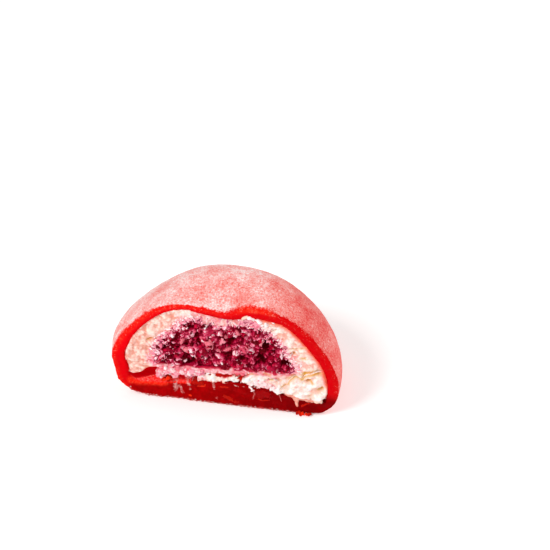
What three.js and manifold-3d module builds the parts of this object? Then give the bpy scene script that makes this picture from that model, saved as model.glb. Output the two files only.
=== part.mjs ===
// Half a raspberry mochi, cut from top to bottom, standing on its flat base.
// Units are millimetres. X runs along the cut face, Y runs from the cut face to the back, Z points up.
// Every layer is a round body built about the upright axis of the whole sweet, which lies a little
// behind the cut, and is then cut by relief surfaces. The finished group is centred on its footprint.

import * as THREE from "three";
import { mergeVertices } from "three/addons/utils/BufferGeometryUtils.js";
import Module from "manifold-3d";

const wasm = await Module();
wasm.setup();
const { clamp, lerp, smoothstep } = THREE.MathUtils;

// Driving dimensions
const AXIS_DEPTH = 3.3; // how far the sweet's upright axis lies behind the cut face
const DEPTH_RATIO = 0.9; // the sweet is a little narrower from front to back than across
const GAP = 0.3; // room kept between neighbouring layers
const CRACK = 0.4; // opening between the cream and the loose slab of cream under it
const BASE_RADIUS = 17.4; // the flat that the sweet rests on
const DOME_TOP = 28.2;
const FILLING_TOP = 26.6;
const FILLING_BOTTOM = 2.4; // lower than the base pad's top, which closes the filling's room
const CORE_TOP = 23.4;
const CORE_BOTTOM = 10.2;

// The base pad of rice dough: its top is level in the middle and slopes down at the right
const PAD = { middle: 6.2, drop: 2.7, slopeFrom: 5, slopeTo: 19 };

// The open hollow in the pad's top at the left front. It runs from x = inner, where its floor rises
// over the length of its end, to x = outer, from where it grows shallower and narrower over the
// length of its taper. Its back wall slopes up to the pad's top.
const HOLLOW = { inner: -4, end: 3.5, outer: -16, taper: 7, wall: 2 };
const HOLLOW_DEPTH = { outer: 2.8, inner: 2.1 };
const HOLLOW_WIDTH = { outer: 3, inner: 0.3 };

// The dent in the top edge of the cut, over the thinnest cream: how deep it is in the skin and in
// the filling, and how far it reaches to the left, to the right and back from the cut
const DENT_X = 0.6;
const SKIN_DENT = { depth: 2.3, left: 7, right: 3.2, back: 4.5 };
const FILLING_DENT = { depth: 1.5, left: 5, right: 3.2, back: 4.5 };

// Outlines seen on the cut face, as radius and height, from the bottom to the top
const SKIN_RIGHT = [
  [BASE_RADIUS, 0], [21.5, 0.9], [24, 3.2], [24.8, 7.2], [24.3, 11.4], [22.9, 15.4],
  [20.5, 19.6], [16.5, 24.5], [11.6, 27.5], [6.2, 28.4], [0, DOME_TOP],
];
const SKIN_LEFT = [
  [BASE_RADIUS, 0], [21.2, 1.1], [23.6, 3.4], [24.3, 6.6], [24.8, 10.4], [23.6, 14.2],
  [21.6, 17.8], [17.8, 22.8], [12.4, 26.6], [6.4, 28], [0, DOME_TOP],
];
const FILLING_RIGHT = [
  [0, FILLING_BOTTOM], [12, FILLING_BOTTOM], [20, 2.5], [21.9, 4], [22.7, 6.8], [22.3, 10.3],
  [20.8, 14.6], [18.5, 18.5], [15.4, 22.6], [12.2, 25.1], [7.4, 26.2], [0, FILLING_TOP],
];
const FILLING_LEFT = [
  [0, FILLING_BOTTOM], [12, FILLING_BOTTOM], [17.6, 2.8], [20.4, 4.4], [21.4, 7], [22.2, 11],
  [21.4, 13.6], [19.3, 18.2], [16, 22.2], [12.4, 25], [7.6, 26.4], [0, FILLING_TOP],
];
const CORE_RIGHT = [
  [0, CORE_BOTTOM], [6, 10.7], [12.6, 11], [15.2, 12.4], [13.6, 15.2], [12, 18.2], [9.5, 20.4],
  [7.8, 22.8], [4.4, 23.7], [0, CORE_TOP],
];
const CORE_LEFT = [
  [0, CORE_BOTTOM], [6, 10], [13, 9.7], [15.9, 10.8], [14.6, 14], [13.2, 17], [11, 19.4],
  [8.8, 22.4], [4.6, 23.2], [0, CORE_TOP],
];

// The cream's lower edge on the cut face, from left to right, as x and z: the plump lobe, the
// ragged flakes that hang from the juice-stained layer, and then the crack over the loose slab
const SLAB_START = -6;
const CREAM_EDGE = [
  [-26, 6], [-20.6, 6.2], [-18.2, 7.4], [-16.6, 8.7], [-15.4, 8.6], [-14.8, 5.4], [-13.5, 6.4],
  [-12.4, 7.4], [-11.6, 5.9], [-10.4, 7.2], [-9, 7.9], [-7.4, 6.8], [-6.4, 8.2], [-5.8, 8.1],
  [-3.7, 8.7], [-1.9, 8.5], [0, 7.9], [2.5, 8.7], [3.6, 8], [5.5, 9.3], [8.7, 9.4], [10.7, 8.6],
  [12.4, 7.1], [13.8, 8.9], [15.2, 10.6], [16.7, 9.9], [17.5, 11.4], [20.1, 12.5], [26, 12.8],
];

// The plump lobe's middle on the cut face, as x and z, and how far it stands forward of the cream
const LOBE = { x: -17.5, z: 12.5, halfWidth: 4.5, halfHeight: 6, forward: 0.35 };

// Creases in the cream's cut face, each from one point to another, as x and z
const CREASES = [
  { from: [8.8, 21.3], to: [11.1, 22.8], depth: 0.5, width: 0.45 },
  { from: [12, 17.5], to: [17.3, 18.6], depth: 0.5, width: 0.45 },
  { from: [14.6, 16], to: [17, 15.4], depth: 0.4, width: 0.5 },
  { from: [-16.6, 16], to: [-15.7, 16.7], depth: 0.5, width: 0.5 },
];

// Reliefs, each as layers of smooth bumps: how far apart the bumps are along the relief's two
// directions, how high they are, and a seed that keeps every layer unlike the others
const PAD_RELIEF = [{ apart: [2.4, 3], height: 0.25, seed: 1 }];
const UNDERSIDE_RELIEF = [{ apart: [2, 2.5], height: 0.3, seed: 2 }];
const SKIN_RELIEF = [{ apart: [5, 4], height: 0.14, seed: 3 }];
const CREAM_RELIEF = [
  { apart: [1.5, 1.5], height: 0.22, seed: 4 },
  { apart: [0.8, 0.8], height: 0.12, seed: 5 },
];
const SLAB_RELIEF = [{ apart: [1.6, 1.4], height: 0.35, seed: 6 }];
const CRUMB_RELIEF = [
  { apart: [2.8, 2.4], height: 0.35, seed: 7 },
  { apart: [1.4, 1.3], height: 0.6, seed: 8 },
];
const PIT_RELIEF = [{ apart: [1.7, 1.5], height: 1.8, seed: 9 }];
const PIT_START = 0.36; // the pits' relief only counts above this height
const HAND_RELIEF = [{ apart: [9, 9], height: 0.2, seed: 10 }];
const LUMP_RELIEF = [{ apart: [3, 2.6], height: 0.4, seed: 11 }];

// How deep the middle of each cut face lies behind the flat of the cut
const SKIN_BACK = 0.18;
const CREAM_BACK = 0.45;
const SLAB_BACK = 0.5;
const CORE_BACK = 0.65;

// Noise

// A repeatable number between 0 and 1 for one point of a lattice.
function scatter(i, j, seed) {
  const turn = Math.sin(i * 127.1 + j * 311.7 + seed * 74.7) * 43758.5453;
  return turn - Math.floor(turn);
}

// Smooth bumps between -1 and 1, about one unit of x and y apart.
function bumps(x, y, seed) {
  const i = Math.floor(x);
  const j = Math.floor(y);
  const u = smoothstep(x - i, 0, 1);
  const v = smoothstep(y - j, 0, 1);
  const near = lerp(scatter(i, j, seed), scatter(i + 1, j, seed), u);
  const far = lerp(scatter(i, j + 1, seed), scatter(i + 1, j + 1, seed), u);
  return 2 * lerp(near, far, v) - 1;
}

// The height of a relief's layers together.
function relief(layers, u, v) {
  const heights = layers.map(({ apart, height, seed }) => height * bumps(u / apart[0], v / apart[1], seed));
  return heights.reduce((sum, height) => sum + height, 0);
}

// From geometry to solids and back

// A geometry's bare points and faces, with points at the same place made one.
function welded(geometry) {
  const bare = geometry.clone();
  bare.deleteAttribute("normal");
  bare.deleteAttribute("uv");
  return mergeVertices(bare, 1e-4);
}

// A closed geometry as a solid, without the flat faces at its poles and with its faces outwards.
function toSolid(geometry) {
  const { index, attributes } = welded(geometry);
  const faces = [];
  for (let i = 0; i < index.count; i += 3) {
    const [a, b, c] = index.array.slice(i, i + 3);
    if (a !== b && b !== c && c !== a) faces.push([a, b, c]);
  }
  const build = (triangles) => {
    const triVerts = new Uint32Array(triangles.flat());
    const mesh = new wasm.Mesh({ numProp: 3, vertProperties: attributes.position.array, triVerts });
    return new wasm.Manifold(mesh);
  };
  const solid = build(faces);
  return solid.volume() > 0 ? solid : build(faces.map(([a, b, c]) => [a, c, b]));
}

// The largest of a solid's separate bodies: scraps that a ragged cut leaves loose are dropped.
function largest(solid) {
  return solid.decompose().reduce((best, body) => (body.volume() > best.volume() ? body : best));
}

// A named mesh of a solid.
function toMesh(solid, name, colour, roughness) {
  const { vertProperties, triVerts } = largest(solid).getMesh();
  const geometry = new THREE.BufferGeometry();
  geometry.setAttribute("position", new THREE.BufferAttribute(new Float32Array(vertProperties), 3));
  geometry.setIndex(new THREE.BufferAttribute(new Uint32Array(triVerts), 1));
  geometry.computeVertexNormals();
  const material = new THREE.MeshStandardMaterial({ color: colour, roughness, metalness: 0 });
  const mesh = new THREE.Mesh(geometry, material);
  mesh.name = name;
  return mesh;
}

// Round bodies

// A smooth outline through a few points of radius and height.
function outline(points, steps) {
  const corners = points.map(([radius, height]) => new THREE.Vector2(radius, height));
  return new THREE.SplineCurve(corners).getPoints(steps);
}

// A closed round body about the sweet's axis, from two outlines that start and end on the axis. It
// follows the first on its right side and the second on its left, and blends them in between.
function roundBody(right, left, turns) {
  const body = new THREE.LatheGeometry(right, turns);
  const place = body.attributes.position;
  for (let i = 0; i < place.count; i += 1) {
    const angle = (2 * Math.PI * Math.floor(i / right.length)) / turns;
    const step = i % right.length;
    const point = left[step].clone().lerp(right[step], (1 + Math.cos(angle)) / 2);
    const x = point.x * Math.cos(angle);
    const y = AXIS_DEPTH + DEPTH_RATIO * point.x * Math.sin(angle);
    place.setXYZ(i, x, y, point.y);
  }
  return body;
}

// Moves each point of a body outwards by a distance that depends on where the point is.
function swell(geometry, distanceAt) {
  const body = welded(geometry);
  body.computeVertexNormals();
  const place = body.attributes.position;
  const point = new THREE.Vector3();
  const outward = new THREE.Vector3();
  for (let i = 0; i < place.count; i += 1) {
    point.fromBufferAttribute(place, i);
    outward.fromBufferAttribute(body.attributes.normal, i);
    point.addScaledVector(outward, distanceAt(point));
    place.setXYZ(i, point.x, point.y, point.z);
  }
  return body;
}

// Lowers the top of a body into the dent over the cut edge.
function dented(geometry, dent) {
  const place = geometry.attributes.position;
  for (let i = 0; i < place.count; i += 1) {
    const x = place.getX(i) - DENT_X;
    const y = Math.max(place.getY(i), 0);
    const across = Math.exp(-((x / (x < 0 ? dent.left : dent.right)) ** 2));
    const along = Math.exp(-((y / dent.back) ** 2));
    const upper = smoothstep(place.getZ(i), 15, 24);
    place.setZ(i, place.getZ(i) - dent.depth * across * along * upper);
  }
  return geometry;
}

// Relief blocks, which the round bodies are cut with

// Evenly spaced grid lines.
function lines(from, to, spacing) {
  const count = Math.round((to - from) / spacing);
  return Array.from({ length: count + 1 }, (_, i) => lerp(from, to, i / count));
}

// A block whose one side is a relief over a grid, and whose other side is flat, at OUTSIDE. PLACE
// puts a grid point and its height into the part's own axes.
const OUTSIDE = -30;
function reliefBlock(us, vs, heightAt, place) {
  const block = new THREE.BoxGeometry(1, 1, 1, us.length - 1, vs.length - 1, 1);
  const corner = block.attributes.position;
  for (let i = 0; i < corner.count; i += 1) {
    const u = us[Math.round((corner.getX(i) + 0.5) * (us.length - 1))];
    const v = vs[Math.round((corner.getY(i) + 0.5) * (vs.length - 1))];
    const height = corner.getZ(i) > 0 ? heightAt(u, v) : OUTSIDE;
    corner.setXYZ(i, ...place(u, v, height));
  }
  return toSolid(block);
}

// What lies under a surface given as height over x and y.
function below(xs, ys, heightAt) {
  return reliefBlock(xs, ys, heightAt, (x, y, z) => [x, y, z]);
}

// What lies in front of a surface given as depth over x and z.
function inFront(xs, zs, depthAt) {
  return reliefBlock(xs, zs, depthAt, (x, z, y) => [x, y, z]);
}

// Surfaces between the layers

// The base pad's top, with the open hollow at the left front
function padTop(x, y) {
  const inward = smoothstep(x, HOLLOW.outer, HOLLOW.outer + HOLLOW.taper);
  const floor = 1 - smoothstep(x, HOLLOW.inner - HOLLOW.end, HOLLOW.inner);
  const depth = lerp(HOLLOW_DEPTH.outer, HOLLOW_DEPTH.inner, inward) * floor;
  const wallStart = lerp(HOLLOW_WIDTH.outer, HOLLOW_WIDTH.inner, inward);
  const hollow = depth * (1 - smoothstep(y, wallStart, wallStart + HOLLOW.wall));
  const slope = PAD.drop * smoothstep(x, PAD.slopeFrom, PAD.slopeTo);
  return PAD.middle - slope + relief(PAD_RELIEF, x, y) - hollow;
}

// The cream's underside: its ragged lower edge at the cut, resting on the pad further back
function creamUnderside(x, y) {
  const next = Math.max(1, CREAM_EDGE.findIndex(([edgeX]) => edgeX >= x));
  const [x0, z0] = CREAM_EDGE[next - 1];
  const [x1, z1] = CREAM_EDGE[next];
  const edge = lerp(z0, z1, clamp((x - x0) / (x1 - x0), 0, 1));
  if (x > SLAB_START) return edge + relief(UNDERSIDE_RELIEF, x, y) * smoothstep(y, 0, 3);
  const rest = PAD.middle + PAD_RELIEF[0].height + GAP;
  return Math.max(lerp(edge, rest, smoothstep(y, 1.5, 5)), padTop(x, y) + GAP);
}

// The loose slab's upper side, a crack lower than the cream; left of the slab it sinks into the pad
function slabTop(x, y) {
  return x > SLAB_START ? creamUnderside(x, y) - CRACK : padTop(x, y) - 1;
}

// Relief of the cut faces, as depth behind the flat of the cut

function skinCut(x, z) {
  return SKIN_BACK + relief(SKIN_RELIEF, x, z);
}

// How deep the creases are at one point of the cream's cut face.
function creaseDepth(x, z) {
  const depths = CREASES.map(({ from, to, depth, width }) => {
    const [dx, dz] = [to[0] - from[0], to[1] - from[1]];
    const along = clamp(((x - from[0]) * dx + (z - from[1]) * dz) / (dx * dx + dz * dz), 0, 1);
    const away = Math.hypot(x - from[0] - along * dx, z - from[1] - along * dz);
    return depth * Math.exp(-((away / width) ** 2));
  });
  return Math.max(...depths);
}

function creamCut(x, z) {
  const lobe = Math.exp(-(((x - LOBE.x) / LOBE.halfWidth) ** 2) - ((z - LOBE.z) / LOBE.halfHeight) ** 2);
  return CREAM_BACK - LOBE.forward * lobe + relief(CREAM_RELIEF, x, z) + creaseDepth(x, z);
}

// The slab is rougher than the cream, and its thick right end stands further forward.
function slabCut(x, z) {
  return SLAB_BACK - 0.25 * smoothstep(x, 9, 15) + relief(SLAB_RELIEF, x, z);
}

// Coarse crumbs with deep pits between them.
function coreCut(x, z) {
  const pit = Math.max(0, relief(PIT_RELIEF, x, z) - PIT_START);
  return CORE_BACK + relief(CRUMB_RELIEF, x, z) + pit;
}

// Layers

// How much fuller the dome is on its left side, behind the cut
function leftShoulder(p) {
  const height = smoothstep(p.z, 4, 11) * (1 - smoothstep(p.z, 13, 21));
  return 0.9 * smoothstep(p.y, 0, 6) * smoothstep(-p.x, 6, 20) * height;
}

// The soft unevenness of a hand-shaped sweet, which its flat base doesn't have
function handShape(p) {
  return smoothstep(p.z, 3, 10) * relief(HAND_RELIEF, p.x + p.z, p.y - p.z);
}

// The rice dough's outer form
function makeDome() {
  const foot = new THREE.Vector2(0, 0);
  const right = [foot, ...outline(SKIN_RIGHT, 24)];
  const left = [foot, ...outline(SKIN_LEFT, 24)];
  const dome = dented(roundBody(right, left, 64), SKIN_DENT);
  return toSolid(swell(dome, (p) => handShape(p) + leftShoulder(p)));
}

// The room that all the fillings share, with a margin all round
function makeRoom(margin) {
  const round = roundBody(outline(FILLING_RIGHT, 20), outline(FILLING_LEFT, 20), 48);
  return toSolid(swell(dented(round, FILLING_DENT), () => margin));
}

// The crumbly raspberry core, with a margin all round; its flat underside isn't lumpy
function makeCore(margin) {
  const core = roundBody(outline(CORE_RIGHT, 15), outline(CORE_LEFT, 15), 40);
  const lumps = (p) => relief(LUMP_RELIEF, p.x, p.z) * smoothstep(p.z, 10.5, 13);
  return toSolid(swell(core, (p) => margin + lumps(p)));
}

// Grid lines of the relief blocks: the ones under the cream follow the corners of its lower edge
const acrossAll = lines(-27, 27, 2.2);
const backAll = [-3, 0, 1.2, 2.4, 3.6, 5, 7, 10, 14, 19, 24, 30];
const edgeXs = CREAM_EDGE.map(([x]) => x).concat(SLAB_START - 0.05, -23, 23).sort((a, b) => a - b);
const edgeYs = [-3, 0, 1.5, 3, 5, 9, 16, 30];

const pad = below(acrossAll, backAll, padTop);
const padAndGap = below(acrossAll, backAll, (x, y) => padTop(x, y) + GAP);
const aboveThePad = makeRoom(0).subtract(padAndGap);

const skin = makeDome()
  .subtract(makeRoom(GAP).subtract(pad))
  .subtract(inFront(acrossAll, lines(-3, 33, 2.2), skinCut));
const cream = aboveThePad
  .subtract(below(edgeXs, edgeYs, creamUnderside))
  .subtract(makeCore(GAP))
  .subtract(inFront(lines(-24, 24, 0.8), lines(3, 29, 0.8), creamCut));
const slab = aboveThePad
  .intersect(below(edgeXs, edgeYs, slabTop))
  .subtract(inFront(lines(-8, 24, 0.7), lines(1, 15, 0.7), slabCut));
const core = makeCore(0).subtract(inFront(lines(-18, 18, 0.6), lines(8, 26, 0.6), coreCut));

const mochi = new THREE.Group();
mochi.add(toMesh(skin, "mochi_skin", 0xe0201c, 0.55));
mochi.add(toMesh(cream, "cream", 0xfae3cf, 0.6));
mochi.add(toMesh(slab, "cream_base", 0xfdeedd, 0.55));
mochi.add(toMesh(core, "raspberry_core", 0x8c0f3a, 0.6));

// The origin is the middle of the footprint, at the height that the sweet rests on
const bounds = new THREE.Box3().setFromObject(mochi);
const middle = bounds.getCenter(new THREE.Vector3());
mochi.position.set(-middle.x, -middle.y, -bounds.min.z);

export default mochi;
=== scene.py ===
"""Half a raspberry mochi: dusted rice dough round cream and a crumbly raspberry core.

Shapes are made in millimetres in the frame of the cut: X runs along the cut face, Y from the cut to
the back and Z up, and the origin is the foot of the cut below the middle of the sweet.
"""
import itertools
import math

import bmesh
import bpy
import numpy as np
from mathutils import Matrix, Vector
from mathutils.bvhtree import BVHTree


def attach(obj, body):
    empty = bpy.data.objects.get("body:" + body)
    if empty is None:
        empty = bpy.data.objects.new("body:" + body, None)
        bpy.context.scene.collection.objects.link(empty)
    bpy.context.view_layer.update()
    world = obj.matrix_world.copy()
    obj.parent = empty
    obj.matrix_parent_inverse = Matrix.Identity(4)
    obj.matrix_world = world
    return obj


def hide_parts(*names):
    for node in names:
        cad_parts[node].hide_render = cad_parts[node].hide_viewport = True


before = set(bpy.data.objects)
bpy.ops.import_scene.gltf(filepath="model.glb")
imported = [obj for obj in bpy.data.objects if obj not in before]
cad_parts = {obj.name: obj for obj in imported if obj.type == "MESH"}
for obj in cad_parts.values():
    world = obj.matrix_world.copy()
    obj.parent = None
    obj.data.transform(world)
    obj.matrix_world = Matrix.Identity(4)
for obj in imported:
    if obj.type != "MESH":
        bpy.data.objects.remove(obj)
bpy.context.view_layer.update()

# The foot of the cut in the row frame, in metres
CUT_FOOT = Vector((0.000334, -0.012784, 0.0))
TO_CUT = Matrix.Scale(1000, 4) @ Matrix.Translation(-CUT_FOOT)
TO_ROW = TO_CUT.inverted()

# Millimetres between neighbouring layers of the solids
LAYER_GAP = 0.3
# Edge length of each layer's even mesh, in millimetres
SKIN_EDGE, CREAM_EDGE, SLAB_MESH_EDGE, CORE_EDGE = 0.23, 0.2, 0.17, 0.16
# Share of the faces that the skin and the inner layers keep where parts of them are thinned out
SKIN_KEPT, INNER_KEPT = 0.56, 0.45
CRACK_FROM, CRACK_TO = -2.4, 5.4
CRACK_DEPTH = 0.75
# Metres below which two corners of a solid are one
SAME_PLACE = 1e-7
# Pieces whose lumps keep their flat faces
FACETED = ("raspberry_crumbs", "cream_crumbs")


# Camera and light

VIEW_HEIGHT = math.radians(41.3)
VIEW_TURN = math.radians(9.6)
VIEW_DISTANCE = 0.5
PICTURE_WIDTH = 550
FOCAL_PIXELS = 2318.5
FOOT_PIXEL = (225, 404)
SENSOR_WIDTH = 36
LIT_PLACE = Vector((0, 0, 0.012))
ROOM_LIGHT = 0.42


def linked(name, data):
    """A new object of the scene with this data."""
    obj = bpy.data.objects.new(name, data)
    bpy.context.scene.collection.objects.link(obj)
    return obj


def add_camera():
    """The camera looks down on the cut from the front, a little from the right."""
    back = Vector((
        math.sin(VIEW_TURN) * math.cos(VIEW_HEIGHT),
        -math.cos(VIEW_TURN) * math.cos(VIEW_HEIGHT),
        math.sin(VIEW_HEIGHT),
    ))
    right = Vector((math.cos(VIEW_TURN), math.sin(VIEW_TURN), 0))
    up = back.cross(right)
    per_pixel = VIEW_DISTANCE / FOCAL_PIXELS
    aside = (FOOT_PIXEL[0] - PICTURE_WIDTH / 2) * per_pixel
    above = (PICTURE_WIDTH / 2 - FOOT_PIXEL[1]) * per_pixel
    camera = linked("camera", bpy.data.cameras.new("camera"))
    camera.data.sensor_width = SENSOR_WIDTH
    camera.data.lens = SENSOR_WIDTH * FOCAL_PIXELS / PICTURE_WIDTH
    camera.data.clip_start, camera.data.clip_end = VIEW_DISTANCE / 50, VIEW_DISTANCE * 20
    place = CUT_FOOT + VIEW_DISTANCE * back - aside * right - above * up
    turn = Matrix((right, up, back)).transposed().to_4x4()
    camera.matrix_world = Matrix.Translation(place) @ turn
    bpy.context.scene.camera = camera


def add_area_light(name, place, size, power, colour):
    """A soft square light at PLACE that faces the sweet, in metres and watts."""
    data = bpy.data.lights.new(name, "AREA")
    data.size, data.energy, data.color = size, power, colour
    aim = (LIT_PLACE - Vector(place)).to_track_quat("-Z", "Y")
    linked(name, data).matrix_world = Matrix.Translation(place) @ aim.to_matrix().to_4x4()


def add_lights():
    """A soft light from the upper left front and a weaker one from the right, in a bright room."""
    add_area_light("key light", (-0.27, -0.28, 0.42), 0.20, 1.85, (1, 0.99, 0.98))
    add_area_light("fill light", (0.36, 0.10, 0.30), 0.30, 0.85, (1, 1, 1))
    world = bpy.data.worlds.new("bright room")
    world.use_nodes = True
    background = world.node_tree.nodes["Background"]
    background.inputs["Color"].default_value = (1, 1, 1, 1)
    background.inputs["Strength"].default_value = ROOM_LIGHT
    bpy.context.scene.world = world


# Bumps and crumbs, in millimetres

MIXER = np.array((73856093, 19349663, 83492791), dtype=np.int64)
TABLE_SIZE = 4096
picker = np.random.default_rng(7)
SLOPES = picker.normal(size=(TABLE_SIZE, 3))
SLOPES /= np.linalg.norm(SLOPES, axis=1, keepdims=True)
MIDDLES = picker.random((TABLE_SIZE, 3))
TONES = picker.random(TABLE_SIZE)


def table_index(slot):
    """A repeatable place in the tables for each whole-numbered slot of space."""
    mixed = slot * MIXER
    return (mixed[:, 0] ^ mixed[:, 1] ^ mixed[:, 2]) & (TABLE_SIZE - 1)


def bumps(points, size, seed):
    """Smooth bumps from about -1 to 1, SIZE apart."""
    cell = points / size + seed * 17.37
    low = np.floor(cell).astype(np.int64)
    part = cell - low
    ease = part**3 * (part * (part * 6 - 15) + 10)
    total = np.zeros(len(points))
    for corner in itertools.product((0, 1), repeat=3):
        share = np.prod(np.where(np.array(corner) == 1, ease, 1 - ease), axis=1)
        slope = SLOPES[table_index(low + corner)]
        total += share * np.einsum("ij,ij->i", slope, part - corner)
    return 1.9 * total


def crumbs(points, size, seed):
    """Crumbs SIZE apart: how far each point is inside its crumb, its crumb's tone and its roundness.

    The first goes from 0 at a crumb's edge up to about 1, and the last from 1 in its middle to 0.
    """
    cell = points / size + seed * 11.71
    low = np.floor(cell).astype(np.int64)
    nearest = np.full(len(points), 9.0)
    second = np.full(len(points), 9.0)
    tone = np.zeros(len(points))
    for step in itertools.product((-1, 0, 1), repeat=3):
        slot = low + step
        index = table_index(slot)
        away = np.linalg.norm(cell - slot - MIDDLES[index], axis=1)
        closer = away < nearest
        second = np.where(closer, nearest, np.minimum(second, away))
        tone = np.where(closer, TONES[index], tone)
        nearest = np.where(closer, away, nearest)
    return np.minimum(second - nearest, 1), tone, np.clip(1 - nearest**2, 0, 1)


def ramp(values, low, high):
    """0 up to LOW, 1 from HIGH, and a smooth rise in between."""
    part = np.clip((values - low) / (high - low), 0, 1)
    return part * part * (3 - 2 * part)


def fall(values, low, high):
    """1 up to LOW, 0 from HIGH, and a smooth fall in between."""
    return 1 - ramp(values, low, high)


def within(values, low, full, fading, high):
    """1 from FULL to FADING, and 0 up to LOW and from HIGH."""
    return ramp(values, low, full) * fall(values, fading, high)


# Meshes

def points_of(mesh):
    flat = np.empty(len(mesh.vertices) * 3)
    mesh.vertices.foreach_get("co", flat)
    return flat.reshape(-1, 3)


def normals_of(mesh):
    flat = np.empty(len(mesh.vertices) * 3, np.float32)
    mesh.vertex_normals.foreach_get("vector", flat)
    return flat.reshape(-1, 3).astype(float)


def set_points(mesh, points):
    mesh.vertices.foreach_set("co", points.ravel())
    mesh.update()


def keep_values(mesh, **layers):
    """Stores numbers for each point of a mesh, by name, for its finish to read."""
    for name, values in layers.items():
        layer = mesh.attributes.new(name, "FLOAT", "POINT")
        layer.data.foreach_set("value", np.asarray(values, np.float32))


def object_of(shape, name):
    """A new object with the bmesh as its mesh."""
    mesh = bpy.data.meshes.new(name)
    shape.to_mesh(mesh)
    shape.free()
    return linked(name, mesh)


def settle(obj):
    """Works an object's modifiers into its mesh."""
    graph = bpy.context.evaluated_depsgraph_get()
    mesh = bpy.data.meshes.new_from_object(obj.evaluated_get(graph))
    obj.modifiers.clear()
    obj.data = mesh


def layer_copy(name, node, voxel):
    """An even mesh round a copy of a CAD layer, in millimetres and in the frame of the cut."""
    shape = bmesh.new()
    shape.from_mesh(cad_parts[node].data)
    bmesh.ops.remove_doubles(shape, verts=shape.verts, dist=SAME_PLACE)
    bmesh.ops.transform(shape, matrix=TO_CUT, verts=shape.verts)
    obj = object_of(shape, name)
    remesh = obj.modifiers.new("even", "REMESH")
    remesh.mode = "VOXEL"
    remesh.voxel_size = voxel
    settle(obj)
    return obj


def relaxed(mesh, points, shares, rounds):
    """Draws each point half way to the middle of its neighbours times its share, over some rounds."""
    ends = np.empty(len(mesh.edges) * 2, np.int32)
    mesh.edges.foreach_get("vertices", ends)
    first, last = ends.reshape(-1, 2).T
    count = len(points)
    around = (np.bincount(first, minlength=count) + np.bincount(last, minlength=count))[:, None]
    pull = 0.5 * np.reshape(shares, (-1, 1))
    for _ in range(rounds):
        total = np.stack([
            np.bincount(first, side[last], count) + np.bincount(last, side[first], count)
            for side in points.T
        ], axis=1)
        points = points + pull * (total / around - points)
    return points


def thin_out(obj, plain, keep):
    """Joins small faces at the PLAIN points, which lie in smooth or hidden parts, and keeps that share."""
    group = obj.vertex_groups.new(name="plain")
    group.add(np.flatnonzero(plain).tolist(), 1, "REPLACE")
    fewer = obj.modifiers.new("fewer", "DECIMATE")
    fewer.ratio = keep
    fewer.vertex_group = "plain"
    settle(obj)
    obj.vertex_groups.clear()


def tree_of(mesh):
    """A search tree for a mesh's surface."""
    polygons = [tuple(polygon.vertices) for polygon in mesh.polygons]
    return BVHTree.FromPolygons([tuple(p) for p in points_of(mesh)], polygons)


def node_tree(node):
    """A search tree for a CAD layer, in the frame of the cut."""
    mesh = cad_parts[node].data.copy()
    mesh.transform(TO_CUT)
    return tree_of(mesh)


def distances(points, tree, limit=6.0):
    """How far each point is from the tree's surface, up to LIMIT."""
    found = (tree.find_nearest(point, limit)[3] for point in points)
    return np.array([limit if away is None else away for away in found])


def lump_shapes(around, stacks, count, rough, seed):
    """A few uneven lumps of few faces, each 1 across, as their points and three-cornered faces."""
    shapes = []
    for turn in range(count):
        shape = bmesh.new()
        bmesh.ops.create_uvsphere(shape, u_segments=around, v_segments=stacks, radius=0.5)
        bmesh.ops.triangulate(shape, faces=shape.faces)
        points = np.array([vert.co for vert in shape.verts])
        corners = np.array([[vert.index for vert in face.verts] for face in shape.faces])
        shape.free()
        uneven = bumps(points, 0.45, seed + turn) + 0.5 * bumps(points, 0.21, seed + turn + 0.5)
        shapes.append((points * np.maximum(1 + rough * uneven, 0.3)[:, None], corners))
    return shapes


def random_turns(picker, count, freedom=1.0):
    """Turns as matrices: in every direction with a freedom of 1, and close to none near 0."""
    w, x, y, z = picker.normal(size=(4, count)) * freedom
    w = w + (1 - freedom)
    size = np.sqrt(w * w + x * x + y * y + z * z)
    w, x, y, z = w / size, x / size, y / size, z / size
    return np.stack([
        1 - 2 * (y * y + z * z), 2 * (x * y - z * w), 2 * (x * z + y * w),
        2 * (x * y + z * w), 1 - 2 * (x * x + z * z), 2 * (y * z - x * w),
        2 * (x * z - y * w), 2 * (y * z + x * w), 1 - 2 * (x * x + y * y),
    ], axis=1).reshape(-1, 3, 3)


def outward_turns(picker, places, middle, spread):
    """Turns that point a lump's length away from a middle on the cut, give or take SPREAD."""
    angle = np.arctan2(places[:, 2] - middle[1], places[:, 0] - middle[0])
    angle = angle + picker.normal(0, spread, len(places))
    turns = np.zeros((len(places), 3, 3))
    turns[:, 0, 0], turns[:, 0, 2] = np.cos(angle), -np.sin(angle)
    turns[:, 2, 0], turns[:, 2, 2] = np.sin(angle), np.cos(angle)
    turns[:, 1, 1] = 1
    return turns


def random_sizes(picker, count, lengths, sides):
    """Three sizes for each lump: a random length times a random share along each side."""
    return picker.uniform(*lengths, (count, 1)) * picker.uniform(*sides, (count, 3))


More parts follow.
